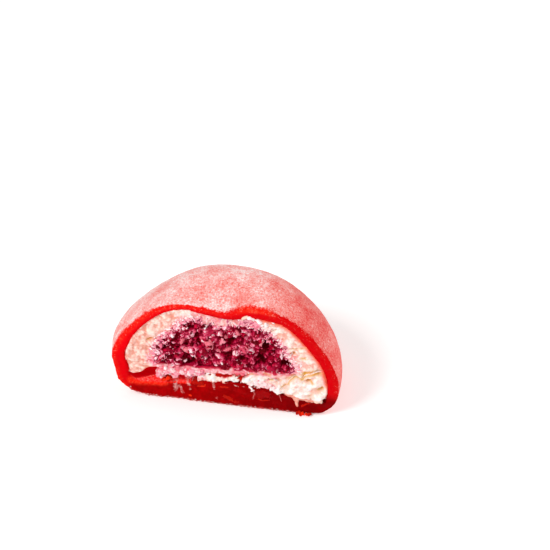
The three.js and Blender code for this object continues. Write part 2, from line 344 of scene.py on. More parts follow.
def scattered(name, shapes, places, sizes, tones, turns):
    """One mesh of many small lumps, each with its place, its three sizes, its tone and its turn.

    Lumps that would reach below the floor lie flat on it.
    """
    every_point, every_corner, every_tone = [], [], []
    made = 0
    for kind, (points, corners) in enumerate(shapes):
        chosen = np.arange(kind, len(places), len(shapes))
        shaped = points[None] * sizes[chosen][:, None, :]
        turned = np.einsum("nij,npj->npi", turns[chosen], shaped) + places[chosen][:, None, :]
        starts = made + len(points) * np.arange(len(chosen))
        every_point.append(turned.reshape(-1, 3))
        every_corner.append((corners[None] + starts[:, None, None]).reshape(-1, 3))
        every_tone.append(np.repeat(tones[chosen], len(points)))
        made += len(points) * len(chosen)
    points = np.concatenate(every_point)
    points[:, 2] = np.maximum(points[:, 2], 0.02)
    mesh = bpy.data.meshes.new(name)
    mesh.from_pydata(points.tolist(), [], np.concatenate(every_corner).tolist())
    keep_values(mesh, tone=np.concatenate(every_tone), cover=np.ones(made))
    return linked(name, mesh)


def spots_on(mesh, count, picker, share):
    """Random places on a mesh, more of them where SHARE of a place and its normal is larger."""
    faces = len(mesh.polygons)
    centres, normals, areas = np.empty((faces, 3)), np.empty((faces, 3)), np.empty(faces)
    for kind, values in (("center", centres), ("normal", normals), ("area", areas)):
        mesh.polygons.foreach_get(kind, values.ravel())
    weights = areas * share(centres, normals)
    return centres[picker.choice(faces, size=count, p=weights / weights.sum())]


def finish_piece(obj, finish, slot, *nodes):
    """Puts a piece back into the row frame, with its finish and its place in the model."""
    obj.data.transform(TO_ROW)
    obj.data.materials.clear()
    obj.data.materials.append(finish)
    if obj.name not in FACETED:
        obj.data.shade_smooth()
    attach(obj, "root")
    if nodes:
        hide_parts(*nodes)


# Finishes

# Painted glow of a moist layer, as a share of its colour, standing in for light that has passed through it
CREAM_GLOW = 0.08
RASPBERRY_GLOW = 0.13


def srgb(red, green, blue):
    """A colour as it looks on a screen, 0 to 255, for a colour socket."""
    parts = [part / 255 for part in (red, green, blue)]
    linear = [part / 12.92 if part <= 0.04045 else ((part + 0.055) / 1.055) ** 2.4 for part in parts]
    return (*linear, 1)


class Amount:
    """A number that changes over a surface, for plain arithmetic."""

    def __init__(self, finish, socket):
        self.finish = finish
        self.socket = socket

    def worked(self, operation, first, second=0.0):
        return self.finish.add("ShaderNodeMath", {"operation": operation}, {0: first, 1: second})

    def __add__(self, other):
        return self.worked("ADD", self, other)

    def __radd__(self, other):
        return self.worked("ADD", other, self)

    def __sub__(self, other):
        return self.worked("SUBTRACT", self, other)

    def __rsub__(self, other):
        return self.worked("SUBTRACT", other, self)

    def __mul__(self, other):
        return self.worked("MULTIPLY", self, other)

    def __rmul__(self, other):
        return self.worked("MULTIPLY", other, self)

    def __truediv__(self, other):
        return self.worked("DIVIDE", self, other)

    def __pow__(self, other):
        return self.worked("POWER", self, other)

    def __abs__(self):
        return self.worked("ABSOLUTE", self)

    def larger(self, other):
        return self.worked("MAXIMUM", self, other)

    def between(self, low, high):
        """0 up to LOW, 1 from HIGH, and a smooth rise in between."""
        sockets = {"Value": self, "From Min": low, "From Max": high}
        return self.finish.add("ShaderNodeMapRange", {"interpolation_type": "SMOOTHSTEP"}, sockets)

    def fall(self, low, high):
        """1 up to LOW, 0 from HIGH, and a smooth fall in between."""
        return 1 - self.between(low, high)

    def within(self, low, full, fading, high):
        """1 from FULL to FADING, and 0 up to LOW and from HIGH."""
        return self.between(low, full) * self.fall(fading, high)


class Finish:
    """A material, written from nodes. Its colours are as on a screen, 0 to 255."""

    def __init__(self, name):
        self.material = bpy.data.materials.new(name)
        self.material.use_nodes = True
        self.tree = self.material.node_tree
        self.tree.nodes.clear()
        self.output = self.tree.nodes.new("ShaderNodeOutputMaterial")
        here = self.add("ShaderNodeTexCoord", {}, {}, "Object")
        sockets = {"Vector": here, "Location": -1000 * CUT_FOOT, "Scale": (1000, 1000, 1000)}
        self.place = self.add("ShaderNodeMapping", {}, sockets)

    def add(self, kind, settings, sockets, output=0):
        """A node of a kind, with its settings and then its sockets' values or links."""
        node = self.tree.nodes.new(kind)
        for name, value in settings.items():
            if name == "stops":
                self.set_stops(node.color_ramp, value)
            else:
                setattr(node, name, value)
        for name, value in sockets.items():
            if isinstance(value, Amount):
                self.tree.links.new(value.socket, node.inputs[name])
            elif node.inputs[name].type == "RGBA":
                node.inputs[name].default_value = srgb(*value)
            else:
                node.inputs[name].default_value = value
        return Amount(self, node.outputs[output])

    def set_stops(self, row, stops):
        """Gives a colour ramp its stops, each a position and a colour."""
        while len(row.elements) < len(stops):
            row.elements.new(1)
        for element, (position, *colour) in zip(row.elements, stops):
            element.position = position
            element.color = srgb(*colour)

    def band(self, share, *stops):
        """The colour that a share has in a row of stops, each a position and a colour."""
        return self.add("ShaderNodeValToRGB", {"stops": stops}, {"Fac": share})

    def axes(self):
        """The place's millimetres along the cut, behind it and up."""
        return [self.add("ShaderNodeSeparateXYZ", {}, {"Vector": self.place}, name) for name in "XYZ"]

    def kept(self, name):
        """A number that the mesh keeps for each point."""
        return self.add("ShaderNodeAttribute", {"attribute_name": name}, {}, "Fac")

    def clouds(self, size, seed, detail, roughness):
        """Cloudy noise from -0.5 to 0.5, in patches of about SIZE millimetres."""
        sockets = {"Scale": 1 / size, "W": seed, "Detail": detail, "Roughness": roughness}
        sockets["Vector"] = self.place
        return self.add("ShaderNodeTexNoise", {"noise_dimensions": "4D"}, sockets) - 0.5

    def cells(self, size):
        """The distance to the middle of the nearest cell, in cells of about SIZE millimetres."""
        return self.add("ShaderNodeTexVoronoi", {}, {"Vector": self.place, "Scale": 1 / size})

    def mix(self, share, first, second):
        """The first colour where the share is 0 and the second where it is 1."""
        sockets = {0: share, 6: first, 7: second}
        return self.add("ShaderNodeMix", {"data_type": "RGBA"}, sockets, 2)

    def relief(self, height, distance, strength):
        """A bumpy surface from a height and the millimetres that a rise by 1 stands for."""
        sockets = {"Height": height, "Distance": distance / 1000, "Strength": strength}
        return self.add("ShaderNodeBump", {}, sockets, "Normal")

    def shader(self, sockets):
        """A surface with these sockets."""
        return self.add("ShaderNodeBsdfPrincipled", {}, sockets)

    def blend(self, share, first, second):
        """The first surface where the share is 0 and the second where it is 1."""
        return self.add("ShaderNodeMixShader", {}, {0: share, 1: first, 2: second})

    def close(self, surface):
        """Ends the material in a surface, and returns it."""
        self.tree.links.new(surface.socket, self.output.inputs["Surface"])
        return self.material

    def soft(self, foam, colour, roughness, relief, shine, more, vary=0.3, strength=0.5):
        """Ends the material in a surface that foam makes uneven, and returns it."""
        return self.close(self.shader({
            "Base Color": colour,
            "Roughness": roughness + foam * vary,
            "Normal": self.relief(foam, relief, strength),
            "Specular IOR Level": shine,
        } | more))


def glowing(colour, strength):
    """The sockets of a surface that glows a little: a painted glow standing in for light from its inside."""
    return {"Emission Color": colour, "Emission Strength": strength}


def rice_dough_finish():
    """Soft red dough: smooth and moist where it is cut, and dusted with starch outside, with light and
    shading painted on its cut.
    """
    f = Finish("dusted rice dough")
    x, y, z = f.axes()
    outside = f.kept("outside")
    ragged = f.clouds(0.9, 1, 4, 0.75)
    grain = f.clouds(0.40, 2, 2, 0.8)
    patches = f.clouds(4.0, 3, 3, 0.5)
    streaks = f.clouds(1.6, 4, 4, 0.65)
    # Where the dust starts behind the cut, and where it is thick or thin
    nearer = x.within(-14.5, -12, -7, -4) * 1.2 - x.fall(-17, -14.5) * 0.3
    nearer = nearer + x.between(18.5, 21) * z.within(9, 12, 19.5, 21) * 1.2
    reach = f.kept("behind") * (1 + nearer) - z.fall(16, 23) * 0.25
    start = (reach + ragged * 1.4 + grain * 1.7).between(0.22, 1.0)
    patch = ((x - 4.9) / 4.7) ** 2 + ((y - 0.2) / 1.25) ** 2 + ragged * 2.6 + grain * 3.0
    dusted = outside * start * patch.between(0.2, 2.4)
    # The dust is paler towards the left and redder towards the right
    left = (x + y * 0.1).fall(5, 17.5)
    thin = (((x - 4.0) / 3.2) ** 2 + ((y - 4.0) / 4.5) ** 2).fall(0, 1.6)
    cover = patches * 0.9 + streaks * 0.5 + grain * 1.7 + left * 0.30 - thin * 0.10
    dust = f.band(
        cover - x.between(6, 16) * 0.07 + 0.45,
        (0.0, 232, 30, 34), (0.3, 240, 92, 86), (0.55, 248, 142, 134),
        (0.75, 252, 178, 173), (1.0, 255, 232, 229),
    )
    # The wall of the cut, painted lighter than the thick base as if lit through, and darker on the right and
    # low on the left where less light falls; painted orange light where it is thin at the outer edge, most
    # in the notch at the top and towards the left
    wall = z.between(9, 12).larger(abs(x).between(15, 19) * z.between(3.4, 7.0))
    wall = wall.larger(x.fall(-22, -19.5))
    right = x.between(-10, 21)
    band = f.mix(right, (240, 0, 12), (212, 0, 10))
    band = f.mix(z.fall(7, 13) * (1 - right), band, (226, 0, 12))
    outer = (f.kept("inside") + ragged * 0.8).fall(0.5, 1.5)
    notch = x.within(1, 5, 8, 12) * z.between(16, 20)
    orange = (notch + x.fall(-4, 4) * 0.35 + 0.1) * outer * (ragged * 2 + 0.9)
    band = f.mix(orange, band, f.mix(ragged.between(-0.05, 0.2), (248, 34, 18), (255, 92, 62)))
    # The thick base in painted shade, darker on the right, the hollow and its ledge
    low = f.mix(right, (154, 0, 2), (122, 0, 3))
    deep = f.mix(streaks.between(-0.08, 0.12), low, f.mix(right, (176, 0, 4), (138, 0, 4)))
    bare = f.mix(wall, deep, band)
    # Painted light on the ledge's front lip and on its top where it faces up, which is also sugary with
    # starch
    bright = f.mix(grain.between(-0.08, 0.16), (240, 20, 10), (255, 72, 44))
    sugary = f.mix(grain.between(-0.10, 0.14), (232, 30, 34), (255, 92, 84))
    bright = f.mix(y.between(0.4, 0.9), bright, sugary)
    specks = f.clouds(0.22, 5, 1, 0.5).between(0.16, 0.24) * outer * wall
    bare = f.mix(specks, bare, (252, 150, 138))
    # A painted shadow further into the cut, and the hollow painted brighter to lift its shade
    bare = f.mix((1 - outside) * y.between(0.5, 2.0), bare, (118, 0, 8))
    bare = f.mix(f.kept("hollow"), bare, (204, 0, 18))
    lit = f.mix(f.kept("ledge"), bare, bright)
    dots = (f.kept("starch") + grain * 2.6).between(0.8, 1.3)
    pale = f.mix(dots, lit, (250, 130, 124))
    powder = f.shader({
        "Base Color": dust,
        "Roughness": 0.9,
        "Normal": f.relief(grain, 0.12, 0.7),
        "Specular IOR Level": 0.1,
        "Sheen Weight": 0.3,
        "Sheen Roughness": 0.4,
        "Sheen Tint": (255, 222, 218),
    })
    # A painted glow in the dough's own colour, in the hollow and on the ledge's lit top
    moist = f.shader({
        "Base Color": pale,
        "Roughness": 0.34,
        "Normal": f.relief(streaks, 0.15, 0.3),
        "Specular IOR Level": 0.012,
    } | glowing(f.mix(f.kept("glow"), (0, 0, 0), pale), 0.35))
    return f.close(f.blend(dusted, moist, powder))


def cream_finish():
    """Airy ivory cream, pink beside the raspberry and salmon beside the dough."""
    f = Finish("aerated cream")
    stain = f.kept("stain")
    foam = f.clouds(0.42, 11, 4, 0.75)
    broad = f.clouds(1.6, 12, 3, 0.6)
    lobe = f.axes()[0].fall(-15, -6)
    dabs = 0.45 - f.cells(0.95)
    height = (f.kept("relief") - 0.5) * 1.3 + broad + foam * 1.7 + dabs * 0.9
    # Painted light and shade: paler where the relief stands out and darker peach where it sinks, mixed with
    # patches of tone
    relief_light_and_patches = height.between(-0.5, 0.55)
    ivory = f.mix(relief_light_and_patches, (242, 172, 154), (255, 238, 229))
    peach = f.mix(relief_light_and_patches, (228, 150, 130), (255, 226, 214))
    white = f.mix(relief_light_and_patches, (254, 226, 216), (255, 255, 253))
    rosy = f.mix(relief_light_and_patches, (236, 100, 120), (255, 204, 208))
    layers = (
        (f.kept("white"), white),
        ((f.kept("warm") + foam * 0.5).between(0.15, 0.9), (250, 104, 78)),
        ((stain + broad * 0.8 + foam * 0.8).between(0.15, 0.6), rosy),
        ((stain + foam).between(0.66, 1.05), (178, 32, 72)),
        ((f.kept("juice") + foam * 0.8).between(0.4, 0.8), (196, 6, 56)),
        # Painted ochre shade in the creases and the hollows of the crags
        (f.kept("crease"), (222, 160, 62)),
        (f.kept("crack"), (206, 0, 10)),
    )
    colour = f.mix(lobe, ivory, peach)
    for share, tint in layers:
        colour = f.mix(share, colour, tint)
    return f.soft(foam, colour, 0.5, 0.14, 0.25, glowing(colour, CREAM_GLOW) | {
        "Subsurface Weight": 0.35,
        "Subsurface Radius": (1.0, 0.5, 0.35),
        "Subsurface Scale": 0.0011,
    })


def cream_crumb_finish():
    """Flakes of cream: berry red where they are soaked, then pink, then white."""
    f = Finish("stained cream crumbs")
    foam = f.clouds(0.25, 15, 3, 0.7)
    colour = f.band(
        f.kept("tone") + foam * 0.4,
        (0.0, 118, 4, 46), (0.2, 164, 34, 86), (0.4, 218, 106, 138),
        (0.6, 248, 168, 182), (0.8, 255, 214, 217), (1.0, 255, 246, 244),
    )
    return f.soft(foam, colour, 0.45, 0.08, 0.2, glowing(colour, CREAM_GLOW))


def film_finish():
    """A thin film of cream over the dough, salmon where the dough shows through."""
    f = Finish("thin cream film")
    foam = f.clouds(0.6, 18, 4, 0.6)
    thick = (f.kept("tone") + foam * 1.2).between(0.1, 1.0)
    alpha = (f.kept("cover") * 2.0 + foam * 1.4).between(0.1, 0.7)
    return f.soft(foam, f.mix(thick, (234, 120, 100), (255, 222, 202)), 0.4, 0.10, 0.2, {"Alpha": alpha})


def smear_finish():
    """Thin smears and grains of starch, through which the red dough still shows."""
    f = Finish("starch smears")
    foam = f.clouds(0.35, 16, 4, 0.75)
    thick = (f.kept("tone") + foam * 1.4).between(0.2, 1.1)
    alpha = (f.kept("cover") * 1.1 + foam * 2.8).between(0.15, 1.35) * 0.7
    return f.soft(foam, f.mix(thick, (232, 70, 70), (255, 216, 208)), 0.5, 0.08, 0.1, {"Alpha": alpha})


def dough_flake_finish():
    """Flakes of bare dough on the cut: dark red, and orange red where they are thin, painted as light that
    passes through.
    """
    f = Finish("dough flakes")
    foam = f.clouds(0.5, 17, 3, 0.7)
    thin = (f.kept("tone") + foam * 0.9).between(0.1, 1.0)
    alpha = (f.kept("cover") * 2.2 + foam * 2.0).between(0.2, 1.2)
    colour = f.mix(thin, (158, 0, 4), (250, 48, 16))
    return f.soft(foam, colour, 0.32, 0.1, 0.03, {"Alpha": alpha}, vary=0.2, strength=0.4)


def raspberry_colour(f, shade_and_tone, juice):
    """From the dark of a pit over magenta to pale frost, by painted shading and tone, and bright crimson
    where juice stands.
    """
    flesh = f.band(
        shade_and_tone,
        (0.0, 84, 0, 8), (0.2, 122, 0, 24), (0.4, 164, 10, 52), (0.55, 202, 46, 86),
        (0.7, 234, 110, 142), (0.85, 252, 176, 194), (1.0, 255, 236, 240),
    )
    return f.mix(juice, flesh, (206, 2, 56))


def raspberry_finish():
    """Crumbly frozen raspberry: juicy pits painted dark as shadow, magenta shreds and pale frost, and
    painted light where crumbs stand out.
    """
    f = Finish("crumbly raspberry")
    foam = f.clouds(0.30, 21, 3, 0.7)
    broad = f.clouds(1.5, 22, 3, 0.6)
    # Painted light and shade from the core's relief, mixed with each crumb's tone
    shade_and_tone = f.kept("height") * 0.75 + f.kept("tone") * 0.35 + foam * 0.4 + broad * 0.6
    juice = broad.between(0.02, 0.16) * foam.between(-0.15, 0.1) * 0.6
    flesh = raspberry_colour(f, shade_and_tone, juice.larger(f.kept("juice")))
    return f.soft(foam, flesh, 0.42, 0.12, 0.02, glowing(flesh, RASPBERRY_GLOW))


def raspberry_crumb_finish(name, pulp):
    """Loose raspberry lumps, shreds and frost crystals, each in its own tone, or coral pulp."""
    f = Finish(name)
    foam = f.clouds(0.22, 23, 3, 0.7)
    broad = f.clouds(1.5, 24, 3, 0.6)
    tone = f.kept("tone")
    juice = broad.between(0.0, 0.12) * tone.fall(0.5, 0.7) * 0.7
    flesh = raspberry_colour(f, tone + foam * 0.5 + broad * 0.4, juice)
    coral = f.mix(foam.between(-0.2, 0.2), (214, 70, 80), (248, 152, 148))
    flesh = f.mix(tone.within(0.5, 0.7, 0.8, 0.9) * pulp, flesh, coral)
    return f.soft(foam, flesh, 0.40, 0.08, 0.04, glowing(flesh, RASPBERRY_GLOW))


# Layers

def facing_front(normals):
    """1 where a surface faces out of the cut, and 0 on the sides of a layer."""
    return ramp(-normals[:, 1], 0.25, 0.75)


def skin_growth(points):
    """How much thicker than its solid the dough is on its inner side at each place."""
    x, y, z = points.T
    middle = within(x, -9, -5, 10, 14) * ramp(z, 14, 18)
    low_right = ramp(x, 17, 20) * fall(z, 8, 12)
    return 0.45 + 0.45 * middle + 0.1 * low_right


def rim_distance(points):
    """How far each point of the cut is inside the outline of the whole cut."""
    x, z = points[:, 0], points[:, 2] - 6
    slots = 480
    slot = ((np.arctan2(z, x) / math.pi + 1) * slots / 2).astype(int)
    reach = np.hypot(x, z)
    furthest = np.zeros(slots + 1)
    near = np.abs(points[:, 1]) < 0.8
    np.maximum.at(furthest, slot[near], reach[near])
    return np.maximum(furthest[slot] - reach, 0)


def make_skin(skin_tree):
    """The rice dough: smooth outside, and its cut a little uneven."""
    obj = layer_copy("rice_dough_skin", "mochi_skin", SKIN_EDGE)
    mesh = obj.data
    points = points_of(mesh)
    outward = points - np.array((0.0, 3.3, 8.0))
    outward /= np.linalg.norm(outward, axis=1, keepdims=True)
    hits = [
        skin_tree.ray_cast(Vector(point + 0.4 * way), Vector(way))[0]
        for point, way in zip(points, outward)
    ]
    outside = np.array([hit is None for hit in hits], float)
    behind = ramp(points[:, 1], 0.6, 2.2)
    foot = ramp(points[:, 2], 0.25, 1.2)
    points = relaxed(mesh, points, outside * behind * foot, 110)
    points = relaxed(mesh, points, 1, 3)
    set_points(mesh, points)
    normals = normals_of(mesh)
    x, y, z = points.T
    front = facing_front(normals) * (1 - behind)
    rough = 0.05 * bumps(points, 1.6, 1) + 0.03 * bumps(points, 0.8, 2)
    wavy = 0.10 * bumps(points, 3.0, 3) + 0.06 * bumps(points, 1.0, 4)
    low_waves = 0.16 * bumps(points * (0.6, 1, 1.3), 1.8, 5) + 0.05 * bumps(points, 0.6, 6)
    wavy = wavy + fall(z, 4, 6) * low_waves
    low = np.where(x > 0, 2.0, 5.0)
    wall = 1 - ramp(normals[:, 2], 0.2, 0.6) * (z < 9)
    inner = (1 - outside) * (1 - front) * ramp(z, low, low + 2) * wall
    away = foot * (rough * outside + front * wavy) + inner * skin_growth(points)
    points = points + away[:, None] * normals
    points[:, 1] -= 0.3 * front * fall(z, 0.5, 3.5)
    set_points(mesh, points)
    x, y, z = points.T
    cut = 1 - outside
    # Marks for painted light and shade: the ledge's top where it faces up and its front lip are painted lit,
    # and the hollow and the place in shade under the cream are painted brighter and glow
    shelf = ramp(-x, 4, 7) * within(z, 2.2, 3.0, 4.4, 5.2) * cut
    back = np.interp(x, (-21, -20.3, -19.2, -17.8, -16.5), (0.6, 0.9, 1.5, 2.2, 2.7))
    top = shelf * fall(y - back, -0.15, 0.2) * ramp(normals_of(mesh)[:, 2], 0.3, 0.7) * ramp(y, 0.1, 0.7)
    wedge = near_line(points, ((-20.5, 3.7), (-18.9, 3.7), (-14.0, 4.1)), 1.0)
    blob = near_line(points, ((-13.3, 4.3), (-12.6, 6.0)), 1.0)
    wedge, blob = wedge * fall(y, 0.5, 1.2), blob * fall(y, 1.0, 2.0)
    open_side = ramp(y - back, -0.2, 0.2) * fall(x, -13, -11)
    shaded = within(x, -12, -10, -6.5, -4.5) * ramp(z, 4.4, 5.2)
    hollow = cut * (z < 9) * np.maximum(open_side, 0.9 * shaded)
    keep_values(
        mesh,
        outside=outside,
        behind=np.where(outside > 0.5, y * (1 - front), 0),
        inside=rim_distance(points),
        hollow=hollow,
        glow=np.maximum(0.5 * hollow, top),
        ledge=np.maximum(np.maximum(0.9 * top, wedge), blob),
        starch=0.85 * top * fall(x, -16, -13) * ramp(y, 0.3, 0.8),
    )
    thin_out(obj, y > 3, SKIN_KEPT)
    return obj


# The creases of the cream's cut: their points along and up, how deep, how wide and how much painted ochre
# shade they hold
CREASES = [
    (((8.8, 21.3), (9.9, 22.2), (11.1, 22.8)), 0.35, 0.22, 0.3),
    (((12.0, 17.5), (13.5, 17.8), (15.4, 17.9), (17.3, 18.7)), 0.35, 0.25, 0.5),
    (((11.4, 19.7), (12.6, 20.5)), 0.3, 0.22, 0.1),
    (((12.4, 6.9), (13.8, 8.0), (14.0, 8.9)), 0.25, 0.30, 0.8),
    (((14.0, 9.0), (15.2, 10.2), (15.9, 10.1), (16.7, 9.6), (17.2, 10.8)), 0.35, 0.42, 1.0),
    (((17.2, 11.2), (18.6, 11.8), (20.2, 12.0)), 0.35, 0.65, 1.1),
    (((5.0, 9.1), (5.9, 9.4), (6.8, 9.2)), 0.4, 0.28, 0.8),
    (((8.6, 9.9), (9.7, 9.6)), 0.35, 0.28, 0.6),
    (((9.3, 8.1), (10.2, 8.2), (10.8, 8.7), (11.5, 8.6)), 0.5, 0.28, 0.9),
    (((17.8, 9.2), (18.4, 9.5), (18.9, 9.2)), 0.4, 0.45, 0.9),
    (((20.2, 6.9), (20.9, 7.4)), 0.4, 0.45, 1.0),
    (((16.6, 15.4), (17.2, 15.5)), 0.4, 0.35, 0.9),
    (((14.3, 16.4), (14.9, 16.6)), 0.4, 0.35, 0.8),
    (((-16.6, 16.0), (-15.7, 16.7)), 0.3, 0.25, 0.8),
    (((-13.0, 18.8), (-12.6, 19.2)), 0.3, 0.25, 0.7),
]

# Where the crack forks through the slab: points along and up
SLAB_FORKS = [
    ((1.7, 8.5), (2.6, 8.7), (3.6, 7.9), (4.5, 8.4)),
    ((3.6, 7.9), (3.4, 7.1), (2.9, 6.0)),
    ((-1.2, 8.3), (-1.0, 7.4)),
    ((20.8, 4.1), (21.2, 4.6), (22.2, 5.0)),
]

# The slab's lower edge: along and up
SLAB_EDGE = np.array([
    (-8.0, 7.2), (-6.0, 6.9), (-4.9, 6.6), (-4.3, 6.3), (-3.4, 6.1), (0.1, 6.1), (1.8, 5.9), (4.4, 6.1),
    (5.1, 6.0), (5.7, 5.3), (6.2, 4.5), (6.7, 5.2), (7.4, 5.9), (8.5, 6.1), (9.2, 5.8), (10.0, 5.7),
    (10.7, 5.1), (13.0, 5.2), (14.9, 5.0), (16.8, 4.6), (18.7, 4.2), (20.2, 4.0), (21.5, 4.8),
]).T


def hang_slab(points):
    """Draws the slab's lower edge at the cut forward, and down to where the camera sees it."""
    x, y, z = points.T
    forward = 0.4 + 0.15 * ramp(x, 3.5, 5)
    lean = math.tan(VIEW_HEIGHT)
    step = 0.4
    along = np.arange(-9, 23, step)
    slot = np.clip(((x - along[0]) / step).astype(int), 0, len(along) - 1)
    lowest = np.full(len(along), 9.0)
    near = y < 1.5
    np.minimum.at(lowest, slot[near], (z + lean * (y - forward))[near])
    lowest = np.convolve(np.pad(lowest, 2, "edge"), np.full(5, 1 / 5), "valid")
    missing = lowest - np.interp(along + step / 2, *SLAB_EDGE)
    missing = np.clip(missing, np.where(along < 12, 0, -0.7), 1.8)
    inside = within(x, -7.5, -6.5, 21, 22)
    low = inside * ramp(np.where(x < 12, 7.7, 6.5) - z, 0, 0.9) * fall(y, 1.0, 2.2)
    down = np.interp(x, along + step / 2, missing)
    points = points - low[:, None] * np.stack([0 * x, forward, down], axis=1)
    end = ramp(x, 21.0, 21.5) * fall(y, 2, 3)
    points[:, 2] += end * np.maximum(5.1 - points[:, 2] - lean * points[:, 1], 0)
    return points


def near_line(points, line, width, power=4):
    """1 on a line on the cut, seen from the front, and close to 0 beyond WIDTH from it."""
    flat = points[:, (0, 2)]
    nearest = np.full(len(points), 99.0)
    for start, end in zip(line, line[1:]):
        start = np.array(start)
        run = np.array(end) - start
        along = np.clip(((flat - start) @ run) / (run @ run), 0, 1)
        nearest = np.minimum(nearest, np.linalg.norm(flat - start - along[:, None] * run, axis=1))
    return np.exp(-((nearest / width) ** power))


def juice_spot(points):
    """1 where juice stands in a bright spot at the core's lower right edge, and 0 away from it."""
    return near_line(points, ((10.5, 12.3), (10.8, 10.3)), 0.6)


def cream_relief(points, front):
    """How far the cream's cut stands out: puffs, folds of the lobe, torn ridges and soft crags."""
    x, y, z = points.T
    bent = points + 0.35 * np.stack([bumps(points, 1.1, seed) for seed in (21, 22, 23)], axis=1)
    puffs = 0.34 * (crumbs(bent, 1.3, 11)[2] - 0.72) + 0.28 * (crumbs(bent, 0.62, 12)[2] - 0.72)
    puffs = puffs + 0.10 * bumps(points, 0.4, 13) + 0.18 * bumps(points, 2.0, 19)
    folds = ramp(-x, 15, 17) * fall(z, 11, 13) * 0.08 * np.sin(2 * math.pi * (z + 0.25 * x) / 1.35)
    angle, reach = np.arctan2(z - 11, x - 3), np.hypot(z - 11, x - 3)
    rays = np.stack([angle * 11, reach * 0.5, y * 0.4], axis=1)
    torn = ramp(x, 9, 13) * 0.34 * bumps(rays, 1.0, 14)
    craggy = ramp(x, 9, 12) * fall(z - 0.45 * (x - 12), 8.5, 10.5)
    slanted = np.stack([0.35 * (x + 0.8 * z), y * 0.5, 0.9 * (z - 0.8 * x)], axis=1)
    crags = craggy * (0.45 * bumps(slanted, 1.3, 15) + 0.25 * bumps(points, 1.6, 17))
    slab = within(x, -8, -6, 4, 7) * fall(z, 8, 8.6)
    return front * (puffs * (1 + slab) + folds + torn + crags), craggy


def sunk(points):
    """Lowers the core's top left of the middle, the cream right above it, and its lower left end."""
    x, y, z = points.T
    top = 1.1 * within(x, -7, -4, 4.5, 7.5) * within(z, 16, 21, 23.6, 25.4)
    low = 0.9 * ramp(-x, 3, 7) * within(z, 9.3, 10.4, 11.5, 14)
    amount = (top + low) * fall(y, 3, 6)
    return points - amount[:, None] * np.array((0.0, 0.0, 1.0))


